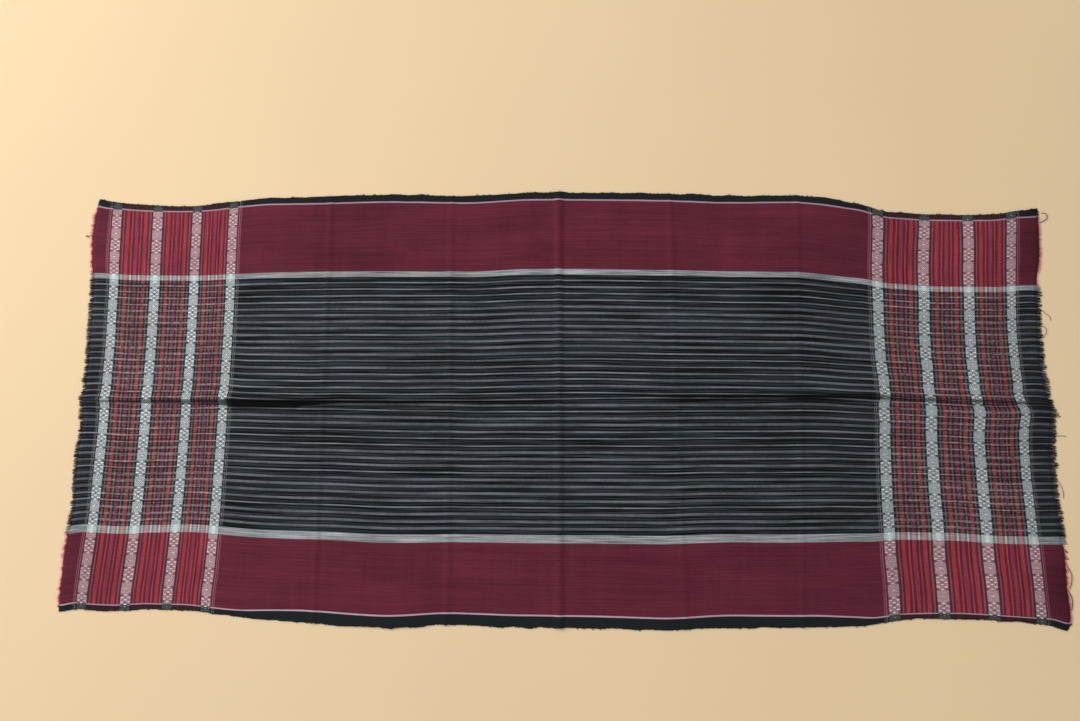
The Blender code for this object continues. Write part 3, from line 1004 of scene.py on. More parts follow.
class Dyehouse:
    """The shader node groups that the finishes share, and the materials made from them."""

    def __init__(self, weave: Weave, dyes: Dyes) -> None:
        """Builds each shared group once."""
        self.weave = weave
        self.dyes = dyes
        self.wear = self._wear()
        self.thread_relief = self._thread_relief()
        self.warp = self._warp()
        self.weft = self._weft()

    def _wear(self) -> bpy.types.NodeTree:
        """Years of use: a tone around 1 that fades in broad patches and in small flecks."""
        sketch, given = new_group("cloth_wear", "U V", "Tone")
        u, v = given.values()
        broad = sketch.grain(u, v, (7.0, 9.0), 1.0, 3.0)
        fleck = sketch.grain(u, v, (260.0, 420.0), 2.0)
        tone = sketch.plus(sketch.scaled(broad, 0.34, 0.83), sketch.scaled(fleck, 0.3, -0.15))
        return sketch.give(Tone=tone)

    def _thread_relief(self) -> bpy.types.NodeTree:
        """Plain weave: rounded warp threads that dip under every second weft.

        The height is the arch of a sine across each warp thread, times a sine along it that turns over
        from each thread to the next. The tone is painted shade in the gaps between threads, darker where
        they dip, and gives each thread its own random tone.
        """
        sketch, given = new_group("thread_relief", "U V", "Height Tone")
        thread = sketch.math("DIVIDE", given["V"], self.weave.warp_pitch * MM)
        pick = sketch.math("DIVIDE", given["U"], self.weave.weft_pitch * MM)
        number = sketch.math("FLOOR", thread)
        arch = sketch.math("ABSOLUTE", sketch.math("SINE", sketch.scaled(thread, math.pi)))
        turn = sketch.scaled(sketch.plus(pick, number), math.pi)
        height = sketch.times(arch, sketch.scaled(sketch.math("SINE", turn), 0.35, 0.65))
        shade = sketch.grain(given["U"], number, (30.0, 0.71), 4.0, 1.0)
        tone = sketch.plus(sketch.scaled(height, 0.30, 0.66), sketch.scaled(shade, 0.44))
        return sketch.give(Height=height, Tone=tone)

    def _warp(self) -> bpy.types.NodeTree:
        """The colours of the warp by their place across the cloth: borders, lines and striped field."""
        weave, dyes = self.weave, self.dyes
        sketch, given = new_group("warp_colours", "U V", "Colour Field Grey Maroon Stripe Fibre")
        u = given["U"]
        wander = sketch.grain(u, given["V"], (7.0, 3.0))
        v = sketch.plus(given["V"], sketch.scaled(wander, 0.0014, -0.0007))
        size = weave.half_width * MM

        def between(borders: tuple[float, float], soft: float = 0.0004) -> Socket:
            """1 between two borders across the cloth."""
            return sketch.inside(v, borders[0] * size, borders[1] * size, soft)

        streak = sketch.grain(u, v, (4.0, 400.0), 3.0, 3.0)
        slow = sketch.grain(u, v, (5.0, 24.0), 9.0)
        picks = sketch.grain(u, v, (260.0, 9.0), 6.0)
        bars = sketch.grain(u, v, (34.0, 2.5), 8.0)
        beaten = sketch.plus(sketch.scaled(picks, 0.20, -0.10), sketch.scaled(bars, 0.28, -0.14))
        maroon_tone = sketch.plus(sketch.scaled(streak, 0.95, 0.225), sketch.scaled(slow, 0.58))
        maroon = sketch.tint(dyes.maroon, sketch.plus(maroon_tone, beaten))
        mixed = sketch.grain(u, v, (14.0, 700.0), 2.0)
        grey_tone = sketch.plus(sketch.scaled(mixed, 2.8, -0.9), sketch.scaled(slow, 0.7))
        grey = sketch.tint(dyes.grey, sketch.plus(sketch.math("MAXIMUM", grey_tone, 0.28), beaten))
        black, stripe, fibre = self._striped_field(sketch, u, v, streak)

        field, maroons, whites = (between(place) for place in (weave.field, weave.maroon, weave.white_lines))
        greys = between(weave.grey_bands, 0.0010)
        line = sketch.blend(sketch.span(v, -0.01, 0.01), dyes.near_line, dyes.far_line)
        colour = sketch.blend(whites, dyes.selvedge_black, line)
        for where, dyed in ((maroons, maroon), (greys, grey), (field, black)):
            colour = sketch.blend(where, colour, dyed)
        return sketch.give(
            Colour=colour,
            Field=field,
            Grey=sketch.minus(greys, field, clamp=True),
            Maroon=sketch.minus(maroons, greys, clamp=True),
            Stripe=sketch.times(stripe, field),
            Fibre=fibre,
        )

    def _striped_field(
        self, sketch: NodeSketch, u: Socket, v: Socket, streak: Socket
    ) -> tuple[Socket, Socket, Socket]:
        """The black field with its thin stripes, each a little off its place and fading along its length.

        Some stripes are narrow and bright, others wide and dim. Broken near-black lines run beside them.

        Args:
            sketch: The sketch of the group that it is drawn in.
            u: The place along the cloth, in metres.
            v: The place across the cloth, in metres.
            streak: Noise in long thin streaks along the warp.

        Returns:
            The field's colour, how strongly a stripe shows there, and the tone of the fibres around 1.
        """
        weave, dyes = self.weave, self.dyes
        pitch = weave.stripe_pitch * MM
        count = sketch.math("DIVIDE", sketch.minus(v, weave.first_stripe * MM), pitch)
        number = sketch.math("ROUND", count)
        own, dim = (
            sketch.node("TexWhiteNoise", None, seed, noise_dimensions="1D").outputs["Value"]
            for seed in (number, sketch.scaled(number, 1.0, 0.5))
        )
        change = sketch.grain(u, number, (3.5, 9.1), 6.0, 1.0)
        dim = sketch.span(sketch.plus(dim, sketch.scaled(change, 1.2, -0.6)), 0.2, 0.65)
        drift = sketch.grain(u, number, (5.5, 3.7), 5.0, 1.0)
        offset = sketch.plus(sketch.scaled(own, 0.0010, -0.0005), sketch.scaled(drift, 0.0016, -0.0008))
        beside = sketch.minus(sketch.scaled(sketch.minus(count, number), pitch), offset)
        away = sketch.math("ABSOLUTE", beside)
        listed = sketch.inside(number, -0.5, weave.stripe_count - 0.5, 0.1)
        strength = sketch.span(sketch.grain(u, number, (11.0, 5.1), 7.0, 3.0), 0.38, 0.62, 0.42, 1.0)
        full, reach = sketch.scaled(dim, 0.0009, 0.0002), sketch.scaled(dim, 0.0015, 0.0015)
        line = sketch.times(sketch.span(away, full, reach, 1.0, 0.0), listed)
        blotch = sketch.grain(u, number, (140.0, 3.3), 2.0)
        most = sketch.scaled(dim, -0.36, 0.64)
        cover = sketch.scaled(strength, most, sketch.scaled(blotch, 0.22, 0.02))
        stripe = sketch.times(line, cover, clamp=True)

        hollow = sketch.times(sketch.span(away, 0.0012, 0.0036, 1.0, 0.0), listed)
        side = sketch.scaled(sketch.math("SIGN", beside), 2.1)
        broken = sketch.plus(sketch.scaled(number, 7.3), side)
        broken = sketch.span(sketch.noise(sketch.scaled(u, 13.0), broken, 3.0, 1.0), 0.44, 0.56)
        rim = sketch.times(sketch.inside(away, 0.0027, 0.0037, 0.0003), broken)
        fibres = sketch.grain(u, v, (6.0, 640.0), 1.0, 3.0)
        fibres = sketch.plus(sketch.scaled(streak, 0.2), sketch.scaled(fibres, 0.8))
        tone = sketch.minus(sketch.span(fibres, 0.41, 0.60, 0.1, 2.5), sketch.scaled(hollow, 0.8))
        tone = sketch.minus(tone, sketch.scaled(rim, 2.6))
        aged = sketch.grain(u, v, (6.0, 60.0), 4.0)
        black = sketch.blend(sketch.span(aged, 0.55, 0.68), dyes.black, dyes.brown_black)
        black = sketch.blend(sketch.span(aged, 0.45, 0.34), black, dyes.green_black)
        black = sketch.tint(black, sketch.math("MAXIMUM", tone, 0.08))
        fibre = sketch.span(tone, -0.4, 2.2, 0.5, 1.32)
        return sketch.blend(stripe, black, dyes.stripe), stripe, fibre

    def _weft(self) -> bpy.types.NodeTree:
        """The weft's stripes between the bands, the ground under the brocade, and the lines beside it."""
        weave, dyes = self.weave, self.dyes
        masks = "Colour Field Grey Maroon Stripe Fibre"
        sketch, given = new_group("weft_colours", "U Band Row " + masks, "Colour")
        u, number, row, warp, field, grey, maroon, stripe, fibre = given.values()
        at_right = sketch.math("GREATER_THAN", number, MIDDLE_NUMBER)
        band = sketch.minus(number, sketch.scaled(at_right, FIRST_RIGHT_BAND))
        off_band = sketch.math("ABSOLUTE", sketch.minus(band, sketch.math("ROUND", band)))
        at_end = sketch.inside(band, -0.5, LAST_BAND + 0.5, 0.01)
        share = sketch.math("FRACT", band)

        starts = [line.start for line in WEFT_STRIPES]
        over_maroon, over_grey, over_black = (
            sketch.steps(share, starts, [seen(*colour) for colour in colours])
            for colours in zip(*(line.yarn.value for line in WEFT_STRIPES))
        )
        plaid = sketch.grain(u, row, (60.0, 1.55), 3.0)
        lit = sketch.times(sketch.span(plaid, 0.35, 0.66, 0.7, 1.12), fibre)
        packed = sketch.grain(band, row, (60.0, 0.07), 5.0)
        over_maroon = sketch.tint(over_maroon, sketch.span(packed, 0.3, 0.7, 0.68, 1.3))
        weft = sketch.blend(0.10, warp, over_maroon)
        weft = sketch.blend(maroon, weft, sketch.blend(0.10, over_maroon, warp))
        weft = sketch.blend(grey, weft, sketch.blend(0.30, over_grey, warp))
        weft = sketch.blend(field, weft, sketch.tint(over_black, lit))
        dash = sketch.grain(u, row, (170.0, 0.85), 1.0)
        crossing = sketch.times(stripe, sketch.span(dash, 0.36, 0.62, 0.25, 0.95))
        weft = sketch.blend(crossing, weft, dyes.stripe_over_weft)

        between_bands = sketch.inside(band, 0.0, LAST_BAND, 0.002)
        colour = sketch.blend(between_bands, warp, weft)
        thin = sketch.blend(maroon, dyes.line_over_black, dyes.line_over_maroon)
        broken = sketch.math("MAXIMUM", maroon, sketch.span(dash, 0.36, 0.6, 0.3, 1.0))
        for start, strength in THIN_LINES:
            line = sketch.times(sketch.inside(off_band, start, start + THIN_LINE_WIDTH, 0.006), at_end)
            line = sketch.times(line, sketch.minus(1.0, between_bands))
            colour = sketch.blend(sketch.times(line, sketch.scaled(broken, strength)), colour, thin)

        brocade = sketch.times(sketch.inside(off_band, -1.0, weave.band_share, 0.004), at_end)
        ground = self._ground(sketch, given, band, off_band)
        return sketch.give(Colour=sketch.blend(brocade, colour, ground))

    def _ground(
        self, sketch: NodeSketch, given: dict[str, Socket], band: Socket, off_band: Socket
    ) -> Socket:
        """The cloth under the brocade: its small floats, by the chart's columns and rows, and bare ground.

        Args:
            sketch: The sketch of the group that it is drawn in.
            given: The group's input values, of which it takes the row and the warp's parts.
            band: The number of the band, with its fraction.
            off_band: How far that is from a whole number.

        Returns:
            The ground's colour.
        """
        weave, dyes = self.weave, self.dyes
        row, field, grey, maroon = (given[name] for name in ("Row", "Field", "Grey", "Maroon"))
        repeat, middle = len(BROCADE_CHART), weave.brocade_columns // 2
        starts = [line / repeat for line in range(repeat)]
        phase = sketch.math("FRACT", sketch.scaled(row, 1 / repeat))
        aside = sketch.scaled(off_band, weave.brocade_columns / (2 * weave.band_share))
        cover = None
        for step in range(middle + 1):
            covers = [GROUND_COVERS[line[middle + step]] for line in BROCADE_CHART]
            rows = sketch.steps(phase, starts, [(share, share, share, 1.0) for share in covers])
            cover = sketch.blend(sketch.span(aside, step - 0.6, step - 0.4), cover, rows) if step else rows
        across = sketch.math("SINE", sketch.scaled(band, math.pi * weave.band_gap / weave.check))
        check = sketch.times(across, sketch.math("SINE", sketch.scaled(row, 1.75 * math.pi)))
        speck = sketch.grain(band, row, (34.0, 1.8), 7.0)
        check = sketch.plus(sketch.scaled(check, 0.6), sketch.scaled(speck, 3.2, -1.6))
        cover = sketch.times(cover, sketch.span(check, -0.65, 0.65, 0.42, 1.5))
        woven = sketch.plus(grey, sketch.plus(maroon, field), clamp=True)
        cover = sketch.times(cover, sketch.scaled(woven, 0.86, 0.14))
        ground = dyes.ground_selvedge
        grounds = (dyes.ground_grey, dyes.ground_maroon, dyes.ground_black)
        for where, dyed in zip((grey, maroon, field), grounds):
            ground = sketch.blend(where, ground, dyed)
        white = sketch.blend(maroon, dyes.small_float_black, dyes.small_float_maroon)
        centre = sketch.times(sketch.span(off_band, 0.03, 0.06, 1.0, 0.0), grey)
        return sketch.blend(cover, sketch.blend(centre, ground, dyes.mint_white), white)

    def _finish(
        self, finish: YarnFinish, sketch: NodeSketch, colour: Socket, tone: Socket, height: Socket
    ) -> bpy.types.Material:
        """Gives a material's shader its colour, its relief and its plain values.

        Args:
            finish: How the yarn takes the light.
            sketch: The sketch of the material's tree.
            colour: The yarn's colour.
            tone: What the colour is multiplied by.
            height: The relief, from 0 to 1, which also makes the yarn a little smoother.

        Returns:
            The material.
        """
        root_roughness = finish.roughness + finish.crown_polish * 2 / 3
        bump = sketch.node("Bump")
        inputs = sketch.tree.nodes["Principled BSDF"].inputs
        fed = (
            (bump.inputs["Strength"], finish.relief),
            (bump.inputs["Distance"], finish.relief_depth),
            (bump.inputs["Height"], height),
            (inputs["Base Color"], sketch.tint(colour, tone)),
            (inputs["Normal"], bump.outputs["Normal"]),
            (inputs["Roughness"], sketch.scaled(height, -finish.crown_polish, root_roughness)),
            (inputs["Sheen Weight"], finish.sheen),
            (inputs["Sheen Roughness"], finish.sheen_roughness),
            (inputs["Specular IOR Level"], finish.specular),
        )
        for socket, value in fed:
            sketch.feed(socket, value)
        return bpy.data.materials[finish.name]

    def woven_cloth(self, finish: YarnFinish) -> bpy.types.Material:
        """The cloth: warp colours, weft colours over them, the threads' relief, wear, and painted shade on
        the folds and marks.
        """
        sketch = new_material(finish.name)
        (u, v), (band, row) = sketch.uv("weave"), sketch.uv("bands")
        weft = sketch.use(self.weft, U=u, Band=band, Row=row, **sketch.use(self.warp, U=u, V=v))
        threads = sketch.use(self.thread_relief, U=u, V=v)
        tone = sketch.times(threads["Tone"], sketch.use(self.wear, U=u, V=v)["Tone"])
        # Painted shade from the dark attribute: the shadows of the folds and wrinkles, and the broad marks
        tone = sketch.times(tone, sketch.minus(1.0, sketch.attribute("dark")))
        return self._finish(finish, sketch, weft["Colour"], tone, threads["Height"])

    def loose_yarn(self, finish: YarnFinish) -> bpy.types.Material:
        """Yarn that has come out of the weave: it keeps the colour of the warp where it left the cloth."""
        sketch = new_material(finish.name)
        (u, v), (x, y) = sketch.uv("weave"), sketch.place()
        warp = sketch.use(self.warp, U=u, V=v)
        twist = sketch.grain(x, y, (1900.0, 1900.0), 0.0, 1.0)
        tone = sketch.times(sketch.use(self.wear, U=x, V=y)["Tone"], sketch.scaled(twist, 0.7, 0.65))
        frayed = sketch.attribute("frayed")
        pink = sketch.blend(sketch.span(frayed, 0.55, 1.0), self.dyes.maroon_fuzz, self.dyes.maroon_tips)
        colour = sketch.blend(sketch.times(frayed, warp["Maroon"]), warp["Colour"], pink)
        faded = sketch.blend(warp["Maroon"], self.dyes.loose_thread, self.dyes.loose_maroon)
        colour = sketch.blend(sketch.attribute("loose"), colour, faded)
        return self._finish(finish, sketch, colour, tone, twist)

    def brocade_yarn(self, finish: YarnFinish) -> bpy.types.Material:
        """The thick white yarn of the brocade, tinged by the maroon where it crosses the borders."""
        sketch = new_material(finish.name)
        (u, v), (x, y) = sketch.uv("weave"), sketch.place()
        maroon = sketch.use(self.warp, U=u, V=v)["Maroon"]
        colour = sketch.blend(maroon, self.dyes.float_white, self.dyes.float_over_maroon)
        twist = sketch.grain(x, y, (1500.0, 900.0), 0.0, 1.0)
        tone = sketch.times(sketch.use(self.wear, U=u, V=v)["Tone"], sketch.scaled(twist, 0.35, 0.82))
        # Painted shade from the dark attribute, over each float's own dullness
        tone = sketch.times(tone, sketch.minus(1.0, sketch.attribute("dark")))
        return self._finish(finish, sketch, colour, tone, twist)


def spaced(marks: list[tuple[float, float]]) -> np.ndarray:
    """Stations between marks. Each mark gives a place and the step to take from it to the next mark."""
    stations = [np.array([marks[0][0]])]
    for (start, step), (stop, _) in zip(marks, marks[1:]):
        count = max(1, round((stop - start) / step))
        stations.append(np.linspace(start, stop, count + 1)[1:])
    return np.concatenate(stations)


@dataclass
class WovenSheet:
    """The cloth itself: one sheet, woven in one piece, with its folds."""

    plan: ClothPlan
    coarse_step: float = 7.0
    fold_step: float = 2.3
    fold_reach: float = 13.0
    row_step: float = 6.6
    crest_step: float = 1.25
    rim_step: float = 2.4
    rim_width: float = 12.0
    past_near_flank: float = 2.0
    past_far_flank: float = 3.0
    bulge_from: float = 0.955

    def _columns(self) -> np.ndarray:
        """Places along the weave that have a line of points, close together on the crosswise folds."""
        marks = [(-self.plan.weave.half_length, self.coarse_step)]
        for fold in CROSSWISE_CREASES:
            marks.append((fold.middle - self.fold_reach, self.fold_step))
            marks.append((fold.middle + self.fold_reach, self.coarse_step))
        marks.append((self.plan.weave.half_length, self.coarse_step))
        return spaced(marks)

    def _rows(self) -> np.ndarray:
        """Shares of the way from the crest, 0, to the far selvedge, 1, or to the near one, -1."""
        weave = self.plan.weave
        marks = [
            (-weave.half_width, self.rim_step),
            (self.rim_width - weave.half_width, self.row_step),
            (-weave.near_flank - self.past_near_flank, self.crest_step),
            (weave.far_flank + self.past_far_flank, self.row_step),
            (weave.half_width - self.rim_width, self.rim_step),
            (weave.half_width, self.rim_step),
        ]
        return spaced(marks) / weave.half_width

    def _slant(self, lengthwise: np.ndarray) -> np.ndarray:
        """How much further along a fold line is at the near selvedge than at the far one."""
        half = self.plan.weave.half_length
        places = np.array([-half, *(fold.middle for fold in CROSSWISE_CREASES), half])
        slants = np.array([0.0, *(fold.slant for fold in CROSSWISE_CREASES), 0.0])
        return smooth_curve(places, slants, lengthwise)

    def _grid(self) -> tuple[np.ndarray, np.ndarray, np.ndarray]:
        """The places along and across the floor of every grid point, and its place along the weave."""
        plan = self.plan
        start, share = np.meshgrid(self._columns(), self._rows(), indexing="ij")
        lengthwise = start - self._slant(start) * share / 2
        along = lengthwise
        for _ in range(3):
            crest = plan.crest(along)
            far, near = plan.edge(Edge.FAR, along), plan.edge(Edge.NEAR, along)
            across = crest + share * np.where(share > 0, far - crest, crest - near)
            along = lengthwise + plan.bend(lengthwise, across)
        return along, across, lengthwise

    def build(self) -> bpy.types.Object:
        """The sheet: its underside from the plan, given its thickness upwards.

        Returns:
            The sheet's object.
        """
        plan = self.plan
        along, across, lengthwise = self._grid()
        share = plan.woven_share(along, across)
        rim = ease((np.abs(share) - self.bulge_from) / (1 - self.bulge_from))
        outward = np.where(share > 0, plan.bulge(Edge.FAR, along), -plan.bulge(Edge.NEAR, along))
        points = plan.points(along, across + rim * outward, plan.lift(along, across))
        sheet = new_object("cloth_sheet", points, grid_faces(*along.shape).tolist())
        add_uv(sheet, "weave", np.stack([lengthwise, share * plan.weave.half_width], axis=-1) * MM)
        add_uv(sheet, "bands", plan.band_place(lengthwise, share))
        # The dark attribute holds the painted shade of the folds and wrinkles, and the cloth's broad marks
        add_number(sheet, "dark", plan.shade(along, across))
        shell = sheet.modifiers.new("Thickness", "SOLIDIFY")
        shell.thickness = plan.weave.thickness * MM
        shell.offset = 1.0
        shell.use_even_offset = False
        return sheet


@dataclass
class BrocadeBands:
    """The white floats of one end's four bands, raised off the cloth, joined into one mesh."""

    plan: ClothPlan
    end: End
    float_height: float = 0.55
    sunk: float = 0.2
    float_length: float = 2.95
    rim_share: float = 0.955
    rim_size: float = 0.6
    last_share: float = 0.985
    sizes: tuple[float, float] = (0.66, 0.96)
    lengths: tuple[float, float] = (0.85, 1.12)
    dullness: tuple[float, float] = (-0.05, 0.24)
    off_place: float = 0.18
    seed: int = 21

    def _places(self) -> tuple[np.ndarray, np.ndarray, np.ndarray]:
        """The middles of the floats, lengthwise in the weave and as shares across it, and their widths."""
        plan, weave = self.plan, self.plan.weave
        column_step = 2 * weave.band_share / weave.brocade_columns
        reach = np.array([-self.last_share, self.last_share]) - weave.field[0]
        starts, stops, shares = [], [], []
        for number in range(self.first_band, self.first_band + LAST_BAND + 1):
            ahead = float(plan.row_start(np.array(number)))
            low, high = (reach * weave.half_width / weave.brocade_row + ahead).astype(int)
            for row in range(low, high):
                across = (row + 0.5 - ahead) * weave.brocade_row
                for run in re.finditer("#+", BROCADE_CHART[row % len(BROCADE_CHART)]):
                    starts.append(number + (run.start() - weave.brocade_columns / 2) * column_step)
                    stops.append(number + (run.end() - weave.brocade_columns / 2) * column_step)
                    shares.append(across / weave.half_width + weave.field[0])
        start, stop = (np.interp(ends, plan.band_numbers, plan.knots) for ends in (starts, stops))
        return (start + stop) / 2, np.array(shares), stop - start

    @property
    def first_band(self) -> int:
        """The number of the end's first band."""
        return 0 if self.end is End.LEFT else FIRST_RIGHT_BAND

    def build(self) -> bpy.types.Object:
        """The floats: each is a flat bundle of thick yarn that dips into the cloth at both its sides.

        A float is a grid of three stations across the cloth by five along it. Its height is a hump each
        way, a little lower at the middle, and its rim is sunk and closed from below. On the black
        selvedges the floats are only specks.

        Returns:
            The object of the end's floats.
        """
        lengthwise, share, width = (values[:, None, None] for values in self._places())
        draw = np.random.default_rng(self.seed + self.end.value)
        each = (len(width), 1, 1)
        step = np.array([-0.5, 0.0, 0.5])[None, :, None]
        aside = np.array([-0.5, -0.3, 0.0, 0.3, 0.5])[None, None, :]
        hump = np.outer([0.0, 1.0, 0.0], [0.0, 1.0, 0.85, 1.0, 0.0])[None]
        size = draw.uniform(*self.sizes, each)
        size = np.where(np.abs(share) > self.rim_share, self.rim_size * size, size)
        moved = lengthwise + aside * width * size + draw.normal(0, self.off_place, each)
        half = self.plan.weave.half_width
        length = self.float_length * draw.uniform(*self.lengths, each)
        moved, across = np.broadcast_arrays(moved, share + step * length / half)
        above = hump * (self.float_height + self.sunk) * size - self.sunk
        dull = draw.uniform(*self.dullness, each)
        lying = self.plan.place(moved, across)
        points = self.plan.on_top(*lying, above)
        cells = grid_faces(3, 5)
        rim = np.array([0, 1, 2, 3, 4, 9, 14, 13, 12, 11, 10, 5])
        starts = np.arange(len(width))[:, None] * 15
        faces = (starts[:, None] + cells[None, :, ::-1]).reshape(-1, 4).tolist() + (starts + rim).tolist()
        piece = new_object("brocade_" + self.end.name.lower(), points, faces)
        add_uv(piece, "weave", np.stack([moved, across * half], axis=-1) * MM)
        # Each float's own random dullness, plus the painted shade of the folds and marks where it lies
        add_number(piece, "dark", dull + (1 - dull) * self.plan.shade(*lying))
        return piece


@dataclass
class RawEnd:
    """One raw end of the warp: short threads in locks between the white ones, and the loose long ones.

    A pair of lengths is for the left end and the right one. The two maroon thicknesses are for the short
    threads and the loose ones, as shares of the others' radius.
    """

    plan: ClothPlan
    end: End
    thread_pitch: float = 0.5
    thread_radius: float = 0.47
    loose_radius: float = 0.46
    root_inside: float = 2.5
    comb_reach: float = 0.992
    lock_lengths: tuple[float, float] = (10.0, 11.2)
    fuzz_lengths: tuple[float, float] = (6.2, 4.4)
    grey_length: float = 7.5
    selvedge_length: float = 2.4
    stations: int = 6
    loose_stations: int = 26
    maroon_thickness: tuple[float, float] = (1.35, 1.6)
    knot_radius: float = 1.5
    down_at: float = 5.0
    seed: int = 41

    def _own(self, pair: tuple[float, float]) -> float:
        """The number of a pair that is for this end."""
        return pair[0] if self.end is End.LEFT else pair[1]

    def _heights(self, out: np.ndarray, root_height: np.ndarray, radius: float) -> np.ndarray:
        """How high threads lie: level with the cloth's middle at the root, just off the floor 5 mm out."""
        fall = ease((out + 0.5) / (self.down_at + 0.5))
        return root_height * (1 - fall) + 1.65 * radius * fall

    def _comb(self) -> tuple[np.ndarray, np.ndarray, np.ndarray]:
        """The comb of short threads.

        Each lock of the field gathers toward its own middle. A thread leans with its lock, bends a little
        more toward its tip, and gets thinner there.

        Returns:
            The paths by thread and station in the frame, the radii, and the threads' shares across.
        """
        plan, weave, own = self.plan, self.plan.weave, self.end.value
        draw = np.random.default_rng(self.seed + own)
        across = np.arange(-self.comb_reach, self.comb_reach, self.thread_pitch / weave.half_width)
        share = across + draw.normal(0, 0.0006, len(across))
        count = len(share)
        woven = share * weave.half_width
        place = (woven - weave.first_stripe) / weave.stripe_pitch
        place = place + 0.32 * noise_curve(woven, 14.0, 29 + own)
        lock = np.floor(place)

        def by_lock(number: int) -> np.ndarray:
            """A random value from -1 to 1 for each thread's lock."""
            return noise_curve(lock * 10.0, 10.0, number + own)

        in_field = (share > weave.field[0]) & (share < weave.field[1])
        in_grey = ~in_field & (share > weave.grey_bands[0]) & (share < weave.grey_bands[1])
        in_maroon = ~in_field & ~in_grey & (np.abs(share) < weave.maroon[1])
        toward = np.where(in_field, (lock + 0.5 - place) * weave.stripe_pitch, 0.0)
        hump = np.where(in_field, np.cos((place - lock - 0.5) * math.pi * 0.85), 0.5)
        lock_length = self._own(self.lock_lengths) + 2.0 * by_lock(31)
        tufts = 1.0 + 0.4 * noise_curve(woven, 5.0, 37 + own)
        fuzz = np.where(in_maroon, self._own(self.fuzz_lengths) * tufts, self.selvedge_length)
        fuzz = np.where(in_grey, self.grey_length, fuzz)
        length = np.where(in_field, lock_length * (0.84 + 0.16 * hump), fuzz)
        length = length * draw.uniform(np.where(in_field, 0.72, 0.6), np.where(in_field, 1.08, 1.3))
        lean = 0.10 * by_lock(35) + draw.normal(0, 0.10, count)
        out = np.linspace(0.0, 1.0, self.stations)[None, :] * (length + self.root_inside)[:, None]
        out = out - self.root_inside
        reach = np.clip(out, 0.0, None) / length[:, None]
        gathered = (toward * (0.15 + 0.15 * by_lock(33)))[:, None]
        drift = gathered * reach**1.5 + lean[:, None] * np.clip(out, 0.0, None)
        drift = drift + draw.normal(0, 0.4, (count, 1)) * reach**2
        along, at = plan.place(own * (weave.half_length + out), np.broadcast_to(share[:, None], out.shape))
        at = at + drift
        root = plan.lift(along[:, :1], at[:, :1]) + weave.thickness / 2
        height = self._heights(out, root, self.thread_radius) + draw.uniform(0, 0.35, (count, 1)) * reach
        thick = np.where(in_maroon, self.maroon_thickness[0], 1.0)[:, None]
        thick = thick * draw.uniform(0.8, 1.2, (count, 1))
        radii = self.thread_radius * (1 - 0.5 * np.clip(reach, 0, 1) ** 2) * thick
        return plan.points(along, at, height), radii * MM, share

    def _loose(self) -> tuple[np.ndarray, np.ndarray, np.ndarray]:
        """The long loose threads, with each path eased through its steps.

        Returns:
            The paths by thread and station in the frame, the radii, and the threads' shares across.
        """
        plan, weave = self.plan, self.plan.weave
        paths, shares = [], []
        stations = np.linspace(0.0, 1.0, self.loose_stations)
        for thread in (thread for thread in LONE_THREADS if thread.end is self.end):
            root = plan.woven_end(self.end, np.array([thread.across]))[0]
            steps = np.array([(-self.root_inside, 0.0), (0.0, 0.0), *thread.path])
            far = np.concatenate([[0.0], np.cumsum(np.hypot(*np.diff(steps, axis=0).T))])
            out, aside = (smooth_curve(far, way, stations * far[-1]) for way in steps.T)
            along, across = root + self.end.value * out, thread.across + aside
            start = plan.lift(along[:1], across[:1]) + weave.thickness / 2
            height = self._heights(out, start, self.loose_radius) + 0.5 * np.sin(stations * math.pi) ** 2
            paths.append(plan.points(along, across, height))
            shares.append(float(plan.woven_share(np.array([root]), np.array([thread.across]))[0]))
        shares = np.array(shares)
        thick = np.where(np.abs(shares) > weave.grey_bands[1], self.maroon_thickness[1], 1.0)[:, None]
        return np.array(paths), thick * np.full(len(stations), self.loose_radius * MM), shares

    def _knot(self, tip: np.ndarray) -> tuple[np.ndarray, list]:
        """A small lumpy ball at a thread's tip: a sphere whose radius swells and shrinks."""
        rings, sides = 7, 10
        theta = np.linspace(0.0, math.pi, rings)[:, None]
        phi = np.arange(sides)[None, :] * 2 * math.pi / sides
        radius = (self.knot_radius + 0.25 * np.sin(3 * phi + 2 * theta)) * MM
        flat = radius * np.sin(theta)
        ball = np.stack([flat * np.cos(phi), flat * np.sin(phi), radius * np.cos(theta)], axis=-1)
        ball = ball + tip + np.array([0.0, 0.0, self.knot_radius * MM])
        numbers = np.arange(rings * sides).reshape(rings, sides)
        turned = np.roll(numbers, -1, axis=1)
        return ball, quads(numbers[:-1], numbers[1:], turned[1:], turned[:-1]).tolist()

    def build(self) -> bpy.types.Object:
        """The raw end: every thread is a closed three-sided tube, and all are joined into one mesh.

        Returns:
            The raw end's object.
        """
        weave = self.plan.weave
        points, faces, uvs, loose, frayed = [], [], [], [], []

        def add(ring: np.ndarray, walls: list, uv: np.ndarray, is_loose: float, fray: np.ndarray) -> None:
            """Adds points to the mesh, with their faces, their places in the weave and their looks."""
            total = sum(map(len, points))
            faces.extend([corner + total for corner in wall] for wall in walls)
            points.append(ring.reshape(-1, 3))
            uvs.append(uv.reshape(-1, 2))
            loose.append(np.full(len(points[-1]), is_loose))
            frayed.append(fray.ravel())

